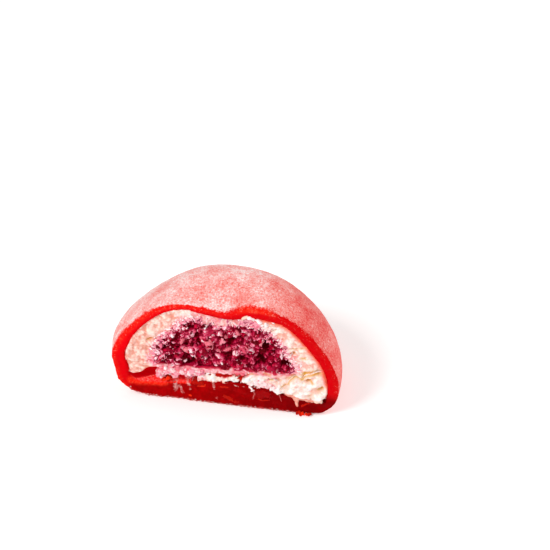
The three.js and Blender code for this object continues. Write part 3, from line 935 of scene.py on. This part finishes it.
def make_cream(name, node, voxel, core_tree, skin_tree):
    """A layer of cream, grown to meet its neighbours, with foam and creases on its cut."""
    obj = layer_copy(name, node, voxel)
    mesh = obj.data
    upper = node == "cream"
    points = points_of(mesh)
    x, y, z = points.T
    lobe_end = ramp(-x, 14.6, 15.4) * fall(z, 9, 11)
    ragged = ramp(-x, 4, 6) * fall(z, 8.5, 9.5) * (1 - lobe_end)
    if upper:
        points = relaxed(mesh, points, fall(y, 3, 5) * lobe_end, 60)
        points = relaxed(mesh, points, ragged, 10)
    else:
        points = relaxed(mesh, points, fall(y, 3, 5), 6)
    points = relaxed(mesh, points, 1, 2)
    set_points(mesh, points)
    normals = normals_of(mesh)
    x, y, z = points.T
    front = facing_front(normals) * fall(y, 1.5, 3.0)
    in_crack = within(x, CRACK_FROM - 0.5, CRACK_FROM, CRACK_TO - 1, CRACK_TO + 0.6)
    facing_crack = ramp(-normals[:, 2] if upper else normals[:, 2], 0.1, 0.5)
    at_crack = in_crack * facing_crack * (z < 10) * fall(y, 3, 4.5)
    grow = (LAYER_GAP - 0.12) * (1 - at_crack)
    closing = within(x, -8, -6.5, CRACK_FROM - 0.5, CRACK_FROM) * facing_crack * (z < 10)
    grow = grow + 0.35 * closing * fall(y, 3, 4.5)
    points = points + grow[:, None] * normals * (1, 0, 1)
    if upper:
        end = fall(z, 8, 13) * fall(y, 3, 6)
        points[:, 2] -= (0.6 * ramp(-x, 14.2, 16) + 0.9 * ramp(-x, 16.5, 19)) * end
        points[:, 0] -= 0.4 * ramp(-x, 17.5, 19.5) * end
        points[:, 2] += 0.9 * ramp(-x, 19.4, 20.8) * end
        arch = within(z, 6.2, 8.4, 9.0, 10.2) * fall(y, 3, 6)
        points[:, 0] += 1.3 * arch * within(x, -17.6, -16.2, -15.2, -11.4)
    else:
        points = hang_slab(points)
        edge = fall(points[:, 1], 1, 2) * fall(points[:, 2], 6.6, 7.6) * fall(x, 12, 14)
        points = relaxed(mesh, points, edge, 5)
        points[:, 2] += 0.35 * at_crack
    points[:, 2] += (0.5 * bumps(points * (1, 0.2, 0.2), 0.9, 24) - 0.3 * fall(x, 0, 3)) * at_crack
    depth, ochre_shade, fork = np.zeros((3, len(points)))
    for line, deep, wide, tint in CREASES:
        shape = near_line(points, line, wide, 2)
        depth = np.maximum(depth, deep * shape)
        ochre_shade = np.maximum(ochre_shade, tint * shape)
    if not upper:
        for line in SLAB_FORKS:
            fork = np.maximum(fork, near_line(points, line, 0.26))
    height, craggy = cream_relief(points, front)
    to_core = distances(points, core_tree)
    to_skin = distances(points, skin_tree)
    growth = skin_growth(points)
    covered = front * fall(to_skin, growth - 0.25, growth + 0.1) * (z > np.where(x > 0, 4, 7))
    lump, lump_tone, _ = crumbs(points, 1.0, 16)
    flaky = ragged * fall(y, 2, 4) * (0.5 * (lump_tone - 0.4) + 0.3 * ramp(lump, 0, 0.4))
    points[:, 1] -= height - front * depth - 0.8 * covered - 0.5 * front * fork
    if upper:
        points = sunk(points + flaky[:, None] * normals)
        points = relaxed(mesh, points, ramp(-x, 16, 17) * fall(z, 8.6, 10), 14)
    set_points(mesh, points)
    x, y, z = points.T
    under = fall(z, 10.2, 11.4) * within(x, -16.8, -15.6, 8, 15)
    over = ramp(z, 20.5, 22) * within(x, -9, -5, 7, 9.5)
    stain = np.exp(-np.maximum(to_core - LAYER_GAP, 0) / 1.2)
    stain = np.maximum(np.maximum(stain * (1 - 0.5 * over), 0.62 * under), 0.42 * over)
    low_pink = 0.42 * within(x, 4, 6, 10, 12.5) * (1 - 0.7 * ramp(z, 6.5, 8)) + 0.35 * ramp(-x, 2, 5)
    keep_values(mesh, stain=stain if upper else np.maximum(low_pink, 0.45 * np.exp(-to_core / 2.0)))
    keep_values(mesh, white=0.6 * craggy if upper else 1 - 0.3 * ramp(x, 5, 12))
    # The relief, which the finish turns into painted light and shade
    keep_values(mesh, relief=0.5 + height / (0.75 + 0.6 * craggy))
    warm = ramp(x, 2, 10) * np.exp(-np.maximum(to_skin - growth, 0) / 0.95)
    if not upper:
        rising = z - np.interp(x, *SLAB_EDGE)
        # Salmon along the slab's lower edge beside the dough, painted also as the warm shade where the edge
        # turns down
        edge = 0.55 * fall(rising, 0.1, 0.7) * within(x, -6.5, -5, 3, 5)
        warm = np.maximum(warm * (0.15 + 0.85 * ramp(z, 6, 9)), edge)
    keep_values(mesh, warm=warm)
    juice = np.exp(-np.maximum(to_core - LAYER_GAP, 0) / 0.5) * fall(z, 10.6, 11.6)
    keep_values(mesh, juice=np.maximum(juice, juice_spot(points)))
    # Painted ochre shade in the hollows of the crags, kept with the creases' shade
    hollow = craggy * ramp(-height, 0.25, 0.7) * 0.4
    keep_values(mesh, crease=np.maximum(ochre_shade, hollow) * front)
    keep_values(mesh, crack=np.maximum(at_crack * ramp(y, 0.2, 0.6), fork * front))
    thin_out(obj, y > 4, INNER_KEPT)
    return obj


# The core's deepest pits: along, up, and half their width and height
CORE_PITS = [
    (-13.0, 14.0, 0.64, 0.77), (-10.5, 16.7, 1.15, 0.67), (-6.8, 20.5, 1.04, 0.77),
    (-6.1, 18.8, 0.58, 0.61), (-3.4, 19.5, 1.04, 0.67), (-4.3, 20.9, 0.58, 0.46),
    (-8.4, 12.5, 1.04, 0.67), (-6.9, 10.6, 0.69, 0.55), (-5.6, 17.0, 0.51, 0.92),
    (-3.2, 15.5, 0.64, 0.55), (-2.2, 12.6, 1.61, 0.67), (1.1, 17.7, 1.38, 0.77),
    (0.1, 13.9, 1.84, 0.77), (-1.2, 18.6, 0.46, 0.46), (4.1, 18.8, 0.81, 0.55),
    (3.8, 13.5, 1.38, 0.67), (5.9, 21.4, 0.51, 1.3), (6.8, 16.5, 0.69, 0.67),
    (8.8, 17.7, 0.51, 1.38), (7.7, 13.8, 0.81, 1.38), (10.0, 14.5, 1.04, 0.86),
    (11.1, 13.4, 0.92, 0.77), (12.7, 12.9, 1.04, 1.22), (11.6, 17.2, 0.51, 0.46),
    (-11.1, 11.8, 0.69, 0.55), (-11.3, 15.2, 0.69, 0.55),
]

# The core's largest pieces: along, up, width, height and tone
CORE_PIECES = [
    (-3.3, 16.9, 1.9, 2.1, 0.72), (-1.5, 14.9, 1.6, 1.6, 0.72), (-3.9, 13.7, 1.2, 1.3, 0.86),
    (-9.2, 16.7, 0.9, 2.1, 0.70), (-8.0, 14.0, 1.4, 1.5, 0.74), (2.6, 20.1, 1.1, 1.8, 0.68),
    (3.8, 16.3, 1.1, 2.4, 0.58), (7.6, 18.7, 1.4, 1.8, 0.78), (1.1, 15.6, 2.2, 1.2, 0.66),
    (11.3, 15.8, 0.6, 0.9, 0.95), (12.3, 16.4, 0.5, 1.5, 0.9), (11.7, 18.3, 0.5, 1.1, 0.95),
    (-8.7, 10.6, 0.8, 0.9, 0.95), (-10.0, 9.8, 0.6, 1.2, 0.7), (-1.3, 11.9, 0.7, 1.0, 0.6),
    (2.9, 11.7, 1.1, 0.9, 0.55), (-2.8, 11.7, 0.5, 0.6, 0.8), (10.2, 12.0, 1.6, 1.2, 0.42),
    (0.2, 18.5, 0.9, 0.8, 0.75), (-0.7, 19.9, 0.7, 0.9, 0.75), (-2.4, 19.0, 0.5, 0.6, 0.95),
    (5.6, 15.0, 0.9, 0.9, 0.7), (5.0, 17.4, 0.7, 1.2, 0.7), (7.0, 11.8, 1.1, 0.7, 0.45),
    (-4.8, 18.0, 0.9, 0.7, 0.6), (-6.3, 15.7, 0.7, 1.2, 0.5), (-0.5, 17.8, 1.2, 1.3, 0.82),
]


def pit_depth(points):
    """How deep in one of the core's pits each point is, from 0 to 1."""
    depth = np.zeros(len(points))
    for along, up, wide, high in CORE_PITS:
        away = ((points[:, 0] - along) / wide) ** 2 + ((points[:, 2] - up) / high) ** 2
        depth = np.maximum(depth, np.exp(-(away**1.5)))
    return depth


def make_core():
    """The raspberry core: crumbs of two sizes and deep pits on its cut."""
    obj = layer_copy("raspberry_crumb", "raspberry_core", CORE_EDGE)
    mesh = obj.data
    points = relaxed(mesh, points_of(mesh), 1, 2)
    set_points(mesh, points)
    normals = normals_of(mesh)
    near_cut = fall(points[:, 1], 2.5, 4.0)
    front = facing_front(normals) * near_cut
    points = sunk(points + (LAYER_GAP - 0.05) * normals * (1, 0, 1))
    set_points(mesh, points)
    normals = normals_of(mesh)
    large, large_tone, _ = crumbs(points * (1, 0.6, 1.15), 1.4, 1)
    small, small_tone, _ = crumbs(points, 0.62, 2)
    height = 1.0 * (large_tone - 0.5) + 0.55 * (ramp(large, 0, 0.5) - 0.6)
    height = height + 0.30 * (small_tone - 0.5) + 0.2 * (ramp(small, 0, 0.5) - 0.6)
    height = height + 0.09 * bumps(points, 0.35, 3) + 0.35 * bumps(points, 2.6, 4)
    pits = pit_depth(points)
    way = normals * 0.45 + np.array((0.0, -0.55, 0.0))
    points = points + (near_cut * front * (0.1 + height))[:, None] * way
    points[:, 1] += near_cut * front * 0.9 * pits
    set_points(mesh, points)
    # For the finish: painted light where crumbs stand out and in the middle, and painted shade in the pits
    # and further back in the cut
    centre = np.exp(-(((points[:, 0] - 1) / 8) ** 2 + ((points[:, 2] - 16) / 5) ** 2))
    relief = 0.50 + 0.12 * centre + height * 0.75 - ramp(points[:, 1], 0.9, 2.4) * 0.3 - 0.5 * pits
    tone = large_tone * 0.5 + small_tone * 0.5
    keep_values(mesh, height=np.clip(relief, -0.2, 1), tone=tone, juice=juice_spot(points))
    thin_out(obj, points[:, 1] > 4, INNER_KEPT)
    return obj


# Crumbs, crystals and smears

def surface_depth(trees, along, up):
    """How far back the nearest of some layers' cut lies at a place, seen from the front."""
    if not trees:
        return CRACK_DEPTH
    hits = [tree.ray_cast(Vector((along, -3, up)), Vector((0, 1, 0)))[0] for tree in trees]
    depth = min((hit.y for hit in hits if hit is not None), default=9)
    return 0.0 if depth > 3 else depth


# White frost at the core's edge: along, up and size
FROST = [
    (-15.2, 9.9, 0.8), (-14.7, 13.1, 1.2), (-15.1, 11.5, 0.9), (-13.7, 12.6, 1.2), (-13.2, 16.1, 1.2),
    (-13.8, 14.5, 0.9), (-12.2, 17.8, 1.4), (-11.5, 19.2, 0.9), (-15.6, 11.1, 0.6), (-8.9, 22.3, 0.9),
    (-8.2, 20.9, 0.9), (-8.2, 22.1, 0.6), (-7.3, 23.1, 0.6), (-5.4, 23.6, 0.8), (-4.3, 23.0, 0.6),
    (6.6, 23.7, 0.9), (7.3, 23.1, 0.9), (9.1, 21.1, 0.8), (10.0, 19.7, 0.8), (11.1, 19.0, 0.6),
    (12.7, 17.7, 0.6), (13.2, 15.6, 0.8), (14.1, 13.9, 0.7), (15.2, 14.1, 0.6), (15.9, 12.9, 0.7),
]


def make_raspberry_crumbs(core):
    """Loose lumps, thin shards and frost crystals all over the core's cut, and its largest pieces."""
    picker = np.random.default_rng(41)

    def on_cut(centres, normals):
        open_cut = ramp(-normals[:, 1], 0.2, 0.6) * fall(centres[:, 1], 1.6, 2.2)
        return open_cut * (1 - 0.98 * ramp(pit_depth(centres), 0.03, 0.3)) * (1 - juice_spot(centres))

    def frosty(centres, normals):
        x, y, z = centres.T
        rim = ramp(z - 18.5 + 0.20 * np.abs(x + 1), 0, 2.5) + 1.5 * ramp(-x, 9.5, 13)
        return on_cut(centres, normals) * (0.015 + rim)

    lumps = spots_on(core.data, 190, picker, on_cut)
    lumps[:, 2] += 0.7 * fall(lumps[:, 2], 10.2, 11.8)
    shards = spots_on(core.data, 750, picker, on_cut)
    frost = spots_on(core.data, 340, picker, frosty)
    lump_sizes = random_sizes(picker, len(lumps), (0.4, 1.4), (0.5, 1.2))
    shard_sizes = random_sizes(picker, len(shards), (0.4, 1.3), ((1, 0.12, 0.16), (1, 0.22, 0.36)))
    frost_sizes = random_sizes(picker, len(frost), (0.14, 0.34), (0.5, 1.5))
    trees = [tree_of(core.data)]
    clumps = np.repeat(np.array(FROST), 8, axis=0)
    spread = picker.normal(0, 0.42, (len(clumps), 2)) * clumps[:, 2:]
    crystals = [
        (along, min(surface_depth(trees, along, up), 0.1), up) for along, up in clumps[:, :2] + spread
    ]
    crystal_sides = ((0.5, 0.25, 0.3), (1, 0.4, 0.6))
    crystal_sizes = clumps[:, 2:] * random_sizes(picker, len(clumps), (0.4, 0.9), crystal_sides)
    large = [(along, surface_depth(trees, along, up) - 0.1, up) for along, up, *_ in CORE_PIECES]
    large_sizes = [(wide, 0.6 * wide, high) for _, _, wide, high, _ in CORE_PIECES]

    def dimmed(places):
        x, y, z = places.T
        return 1 - 0.30 * fall(z, 11, 14.5) - 0.14 * fall(x, -8, -5)

    tones = np.concatenate([
        picker.beta(1.4, 3.2, len(lumps)) * 0.8 * dimmed(lumps),
        picker.beta(2.2, 2.2, len(shards)) * 0.9 * dimmed(shards),
        picker.uniform(0.6, 0.95, len(frost)),
        picker.uniform(0.7, 0.98, len(crystals)),
    ])
    small = scattered(
        "raspberry_crumbs", lump_shapes(6, 5, 8, 0.8, 50),
        np.concatenate([lumps, shards, frost, crystals]) - np.array((0, 0.06, 0)),
        np.concatenate([lump_sizes, shard_sizes, frost_sizes, crystal_sizes]), tones,
        random_turns(picker, len(tones)),
    )
    big = scattered(
        "raspberry_pieces", lump_shapes(16, 10, 6, 0.8, 80), np.array(large),
        np.array(large_sizes), np.array([tone for *_, tone in CORE_PIECES]),
        random_turns(picker, len(large), 0.15),
    )
    return small, big


def make_cream_crumbs(cream_piece, core_tree):
    """Small stained flakes and shreds where the cream meets the raspberry and along its ragged edge."""
    picker = np.random.default_rng(61)

    def round_core(nearest, furthest):
        def share(centres, normals):
            away = distances(centres, core_tree, 3.0)
            lower = 0.06 + 0.94 * ramp(centres[:, 2], 10.5, 12)
            x, y, z = centres.T
            calm = ramp(z, 20.3, 21.3) * within(x, -6, -4, 3, 5)
            near = ramp(-normals[:, 1], 0.2, 0.6) * (y < 1.4) * lower * (1 - 0.8 * calm)
            return near * fall(away, nearest, furthest)
        return share

    def ragged_edge(centres, normals):
        x, y, z = centres.T
        return (y < 2.0) * (x > -15.5) * (x < -4) * (z < 8.6) * (0.2 + ramp(-normals[:, 1], -0.3, 0.5))

    rim = spots_on(cream_piece.data, 300, picker, round_core(0.5, 2.4))
    shreds = spots_on(cream_piece.data, 300, picker, round_core(0.3, 1.9))
    edge = spots_on(cream_piece.data, 70, picker, ragged_edge)
    rim_sizes = random_sizes(picker, len(rim), (0.2, 0.6), (0.4, 1.4))
    shred_sizes = picker.uniform(0.4, 1.3, (len(shreds), 1)) * np.array((1.0, 0.24, 0.34))
    edge_sizes = random_sizes(picker, len(edge), (0.4, 1.3), (0.5, 1.2))
    along = picker.uniform(5.2, 11.4, 30)
    up = np.interp(along, *SLAB_EDGE) + 0.6 + 1.6 * picker.random(30) ** 1.5
    hanging = np.stack([along, -0.3 - 0.1 * picker.random(30), up], axis=1)
    hanging_sizes = random_sizes(picker, 30, (0.3, 0.7), ((0.5, 0.3, 0.5), (1.1, 0.6, 1.3)))
    near_rim = 1 - np.clip(distances(rim, core_tree, 2.0) / 1.8, 0, 1)
    near_shreds = 1 - np.clip(distances(shreds, core_tree, 2.0) / 1.8, 0, 1)
    tones = np.concatenate([
        np.clip(1.0 - 0.4 * near_rim + picker.normal(0, 0.14, len(rim)), 0.3, 1),
        np.clip(0.75 - 0.5 * near_shreds + picker.normal(0, 0.2, len(shreds)), 0.16, 1),
        np.clip(picker.normal(0.68, 0.16, len(edge)), 0.45, 1),
        np.clip(picker.normal(0.86, 0.12, len(hanging)), 0.5, 1),
    ])
    turns = np.concatenate([
        random_turns(picker, len(rim)),
        outward_turns(picker, shreds, (0, 11), 0.45),
        random_turns(picker, len(edge) + len(hanging)),
    ])
    return scattered(
        "cream_crumbs", lump_shapes(6, 5, 8, 0.7, 70),
        np.concatenate([rim, shreds, edge, hanging]),
        np.concatenate([rim_sizes, shred_sizes, edge_sizes, hanging_sizes]), tones, turns,
    )


def lay_patch(shape, trees, line, widths, lift, tone, rim_tone, seed):
    """Lays a thin uneven patch along a line of places on the cut, with its rim pressed in."""
    kept_tone = shape.verts.layers.float["tone"]
    kept_cover = shape.verts.layers.float["cover"]
    line = np.array(line, float)
    runs = np.linalg.norm(np.diff(line, axis=0), axis=1)
    stations = np.concatenate([[0], np.cumsum(runs)]) / runs.sum()
    long = max(6, int(runs.sum() / 0.16))
    made = bmesh.ops.create_grid(shape, x_segments=long, y_segments=8, size=1)["verts"]
    flat = np.array([vert.co for vert in made])
    along = (flat[:, 0] + 1) / 2

    def on_line(part):
        return np.stack([np.interp(part, stations, side) for side in line.T], axis=1)

    run = on_line(along + 0.02) - on_line(along - 0.02)
    run /= np.linalg.norm(run, axis=1, keepdims=True)
    taper = np.sqrt(np.clip(1 - np.abs(flat[:, 0]) ** 3, 0, 1))
    uneven = 1 + 0.45 * bumps(np.stack([along * runs.sum(), flat[:, 1] * 0.4, 0 * along], axis=1), 0.7, seed)
    width = widths[0] + (widths[1] - widths[0]) * along
    aside = 0.5 * width * flat[:, 1] * taper * uneven
    place = on_line(along) + aside[:, None] * np.stack([-run[:, 1], run[:, 0]], axis=1)
    rim = np.maximum(np.abs(flat[:, 0]), np.abs(flat[:, 1]))
    swell = bumps(np.stack([place[:, 0], 0 * along, place[:, 1]], axis=1), 0.5, seed + 1)
    rise = lift * (1 - rim**4) * (1 + 0.3 * swell)
    for vert, (x, z), up, out in zip(made, place, rise, rim):
        vert.co = (x, surface_depth(trees, x, z) + 0.04 - up, z)
        vert[kept_tone] = tone + (rim_tone - tone) * out**3
        vert[kept_cover] = 1 - out**2
    faces = list({face for vert in made for face in vert.link_faces})
    extruded = bmesh.ops.extrude_face_region(shape, geom=faces)["geom"]
    back = [item for item in extruded if isinstance(item, bmesh.types.BMVert)]
    bmesh.ops.translate(shape, verts=back, vec=(0, 0.12, 0))


def make_patches(name, trees, patches):
    """Thin patches on the cut, each from its line, width, rise, tone and rim tone."""
    shape = bmesh.new()
    shape.verts.layers.float.new("tone")
    shape.verts.layers.float.new("cover")
    for seed, (line, width, lift, tone, rim_tone) in enumerate(patches):
        lay_patch(shape, trees, line, width, lift, tone, rim_tone, 200 + seed)
    bmesh.ops.recalc_face_normals(shape, faces=shape.faces)
    return object_of(shape, name)


# Each patch: its line along and up, its widths at both ends, its rise, its tone and its rim's tone
STARCH_SMEARS = [
    (((-10.9, 5.6), (-10.8, 3.9), (-10.7, 1.6)), (2.0, 1.2), 0.12, 0.62, 0.3),
    (((-10.3, 4.4), (-9.6, 3.0), (-9.0, 1.3)), (1.0, 1.0), 0.10, 0.6, 0.3),
    (((-8.8, 4.6), (-7.8, 5.9), (-6.3, 6.3)), (1.0, 0.9), 0.12, 0.95, 0.4),
    (((-8.7, 4.9), (-7.3, 4.0)), (1.0, 0.6), 0.10, 0.8, 0.3),
    (((-8.0, 3.1), (-7.2, 3.1)), (1.0, 0.8), 0.12, 0.5, 0.1),
    (((-2.6, 6.4), (-2.4, 4.7), (-2.2, 3.4)), (0.9, 0.5), 0.10, 0.6, 0.2),
    (((1.9, 5.9), (2.6, 5.7), (3.3, 5.5)), (0.5, 0.4), 0.08, 0.75, 0.3),
    (((3.7, 5.7), (4.4, 5.6)), (0.5, 0.4), 0.08, 0.7, 0.3),
    (((-2.3, 1.7), (-1.3, 1.7)), (1.0, 0.9), 0.10, 0.35, 0.0),
    (((11.7, 5.2), (12.4, 2.4)), (0.6, 0.5), 0.06, 0.35, 0.1),
    (((6.2, 5.6), (6.4, 3.9), (6.0, 1.9)), (0.6, 0.5), 0.10, 0.45, 0.1),
]
DOUGH_FLAKES = [
    (((-13.5, 4.2), (-12.6, 5.1), (-11.6, 6.1)), (2.4, 2.0), 0.25, 0.9, 0.5),
    (((-6.3, 4.2), (-5.3, 4.2), (-4.5, 4.5), (-4.2, 5.3)), (0.8, 0.6), 0.12, 0.7, 0.4),
    (((-7.5, 5.3), (-5.8, 5.3), (-4.4, 5.4)), (1.7, 1.6), 0.16, 0.3, 0.35),
    (((-7.9, 1.8), (-7.2, 1.2)), (0.7, 0.5), 0.08, 0.9, 0.6),
    (((6.6, 2.6), (8.2, 2.3), (9.9, 2.6)), (0.5, 0.4), 0.10, 0.45, 0.3),
    (((-0.5, 2.6), (0.8, 2.0), (2.0, 1.3)), (1.1, 0.9), 0.12, 0.35, 0.45),
    (((-1.6, 4.8), (0.2, 4.9), (1.0, 5.0)), (0.7, 0.6), 0.10, 0.45, 0.3),
    (((1.9, 1.1), (3.3, 1.2)), (0.9, 0.8), 0.12, 0.35, 0.4),
    (((6.3, 4.0), (8.2, 4.1), (10.3, 4.3)), (3.0, 2.6), 0.16, 0.02, 0.2),
    (((16.4, 2.0), (18.9, 3.3)), (0.7, 0.6), 0.10, 0.4, 0.3),
]
CREAM_FILM = [
    (
        ((12.6, 5.2), (14.7, 4.65), (16.8, 4.3), (18.7, 3.9), (20.2, 3.8), (21.0, 4.0)),
        (0.7, 1.6), 0.15, 0.42, 0.25,
    ),
    (((15.2, 4.7), (15.6, 3.4), (15.8, 1.7)), (2.0, 0.4), 0.20, 0.5, 0.35),
    (((19.2, 4.2), (20.4, 4.1), (21.3, 4.2)), (1.2, 1.8), 0.30, 0.95, 0.6),
    (((3.8, 25.0), (4.5, 25.7), (5.4, 26.1)), (0.8, 0.8), 0.30, 0.9, 0.5),
]
CREAM_FLAPS = [
    (((3.4, 24.2), (4.6, 24.5), (6.0, 24.6)), (1.1, 1.2), 0.20, 0.56, 0.55),
    (((6.0, 24.2), (7.1, 23.9), (8.3, 23.8)), (1.1, 1.0), 0.20, 0.58, 0.55),
    (((4.8, 25.6), (5.6, 25.8), (6.6, 25.2)), (0.7, 1.2), 0.35, 1.0, 0.85),
    (((6.4, 25.2), (7.4, 24.9), (8.2, 24.5)), (1.0, 0.8), 0.35, 1.05, 0.85),
]
CRACK_JUICE = [
    (
        (
            (-8.8, 7.9), (-5.6, 7.6), (-2.6, 8.0), (-1.4, 7.9), (0.4, 7.6), (1.8, 7.7), (3.0, 7.3),
            (4.0, 7.5), (5.4, 7.9),
        ),
        (2.2, 1.6), 0.10, 0.3, 0.3,
    ),
]


# The line along which grains lie at the left of the foot: along and up
SIDE_GRAINS = ((-21.2, 2.0), (-20.4, 1.0), (-19.3, 0.6), (-18.0, 0.3), (-16.5, 0.1))


def make_foot_crumbs(skin):
    """Grains of starch and dough along the foot of the cut, and a few dough crumbs before it."""
    picker = np.random.default_rng(91)

    def at_foot(centres, normals):
        x, y, z = centres.T
        return (z < 0.5) * (np.abs(x) < 21.5) * ramp(-normals[:, 1], 0.2, 0.5)

    def at_side(centres, normals):
        return ramp(-normals[:, 1], 0.0, 0.4) * near_line(centres, SIDE_GRAINS, 0.25, 2)

    toe = spots_on(skin.data, 330, picker, at_foot)
    side = spots_on(skin.data, 50, picker, at_side)
    places = np.concatenate([toe, side])
    places[:, 1] -= 0.06
    sizes = random_sizes(picker, len(places), (0.14, 0.4), (0.6, 1.4))
    grains = scattered(
        "foot_grains", lump_shapes(6, 5, 6, 0.4, 95), places, sizes,
        picker.uniform(0.0, 1.0, len(places)), random_turns(picker, len(places)),
    )
    before = [
        (15.8, 0.6, 0.4), (16.4, 0.8, 0.6), (17.1, 0.7, 0.9),
        (17.8, 0.6, 0.9), (18.4, 0.7, 0.5), (17.0, 0.5, 1.0),
    ]
    near = np.array([(x, -0.45, 0.3) for x, _, _ in before])
    near_sizes = np.array([(1.9 * size, 1.1 * size, 0.9 * size) for _, size, _ in before])
    crumbs_before = scattered(
        "foot_crumbs", lump_shapes(12, 8, 6, 0.5, 98), near, near_sizes,
        np.array([tone for *_, tone in before]), random_turns(picker, len(before), 0.5),
    )
    return grains, crumbs_before


def make_cream_tufts(trees):
    """White tufts of cream near the dough's edge at the top, and tufts of it that hang under the slab."""
    tufts = [
        (3.2, 24.6, 0.8, 0.6, 1.0), (2.3, 23.4, 1.7, 0.9, 0.85), (9.0, 24.0, 0.9, 1.1, 0.98),
        (10.4, 24.7, 0.9, 0.5, 0.98), (11.6, 23.4, 0.8, 0.5, 0.98), (8.1, 24.0, 0.6, 0.4, 0.9),
        (5.6, 6.5, 1.5, 1.2, 0.96), (6.9, 6.7, 1.6, 1.1, 0.86), (8.2, 7.0, 1.8, 1.1, 0.92),
        (9.5, 6.7, 1.6, 1.2, 0.84), (10.5, 6.3, 1.4, 1.1, 0.95), (11.7, 6.2, 1.2, 0.7, 0.95),
        (10.8, 8.5, 0.7, 0.6, 0.5), (10.9, 6.7, 0.7, 0.5, 0.52), (9.3, 7.8, 0.6, 0.7, 0.6),
        (7.4, 7.9, 0.8, 0.4, 0.62), (8.5, 7.4, 0.7, 0.4, 0.6),
    ]
    places = np.array([(x, surface_depth(trees, x, z), z) for x, z, *_ in tufts])
    sizes = np.array([(wide, 0.5 * high, high) for _, _, wide, high, _ in tufts])
    tones = np.array([tone for *_, tone in tufts])
    turns = random_turns(np.random.default_rng(121), len(tufts), 0.15)
    return scattered("cream_tufts", lump_shapes(16, 10, 8, 0.55, 120), places, sizes, tones, turns)


# Floor

def add_floor():
    """A plain pale floor under the sweet."""
    shape = bmesh.new()
    bmesh.ops.create_grid(shape, x_segments=1, y_segments=1, size=1.5)
    bmesh.ops.translate(shape, verts=shape.verts, vec=(0, 0, -0.00005))
    floor = object_of(shape, "floor")
    f = Finish("pale floor")
    colour = f.mix(f.clouds(60, 31, 2, 0.5) + 0.5, (246, 245, 244), (250, 249, 248))
    floor.data.materials.append(f.close(f.shader({
        "Base Color": colour,
        "Roughness": 0.7,
        "Emission Color": (255, 255, 255),
        "Emission Strength": 0.25,
    })))


bpy.context.scene.view_settings.view_transform = "Standard"
add_camera()
add_lights()

cream = cream_finish()
core_tree = node_tree("raspberry_core")
skin_tree = node_tree("mochi_skin")

skin_piece = make_skin(skin_tree)
cream_piece = make_cream("cream_filling", "cream", CREAM_EDGE, core_tree, skin_tree)
slab_piece = make_cream("cream_slab", "cream_base", SLAB_MESH_EDGE, core_tree, skin_tree)
core_piece = make_core()
raspberry_crumbs, raspberry_pieces = make_raspberry_crumbs(core_piece)
cream_crumbs = make_cream_crumbs(cream_piece, core_tree)
dough_tree, cream_tree = tree_of(skin_piece.data), tree_of(cream_piece.data)
slab_tree = tree_of(slab_piece.data)
starch_smears = make_patches("starch_smears", [dough_tree], STARCH_SMEARS)
dough_flakes = make_patches("dough_flakes", [dough_tree], DOUGH_FLAKES)
cream_film = make_patches("cream_film", [dough_tree], CREAM_FILM)
cream_flaps = make_patches("cream_flaps", [dough_tree, cream_tree], CREAM_FLAPS)
cream_tufts = make_cream_tufts([cream_tree, slab_tree])
foot_grains, foot_crumbs = make_foot_crumbs(skin_piece)
crack_juice = make_patches("crack_juice", [], CRACK_JUICE)

cream_bits = cream_crumb_finish()
starch = smear_finish()
flakes = dough_flake_finish()
for piece, finish, slot, *nodes in (
    (skin_piece, rice_dough_finish(), "rice_dough", "mochi_skin"),
    (cream_piece, cream, "cream", "cream"),
    (slab_piece, cream, "cream", "cream_base"),
    (core_piece, raspberry_finish(), "raspberry", "raspberry_core"),
    (raspberry_crumbs, raspberry_crumb_finish("raspberry lumps and frost", 0.0), "raspberry"),
    (raspberry_pieces, raspberry_crumb_finish("raspberry pulp", 0.45), "raspberry"),
    (cream_crumbs, cream_bits, "cream"),
    (cream_film, film_finish(), "cream"),
    (cream_flaps, cream_bits, "cream"),
    (cream_tufts, cream_bits, "cream"),
    (starch_smears, starch, "rice_dough"),
    (dough_flakes, flakes, "rice_dough"),
    (foot_grains, starch, "rice_dough"),
    (foot_crumbs, flakes, "rice_dough"),
    (crack_juice, flakes, "raspberry"),
):
    finish_piece(piece, finish, slot, *nodes)
add_floor()
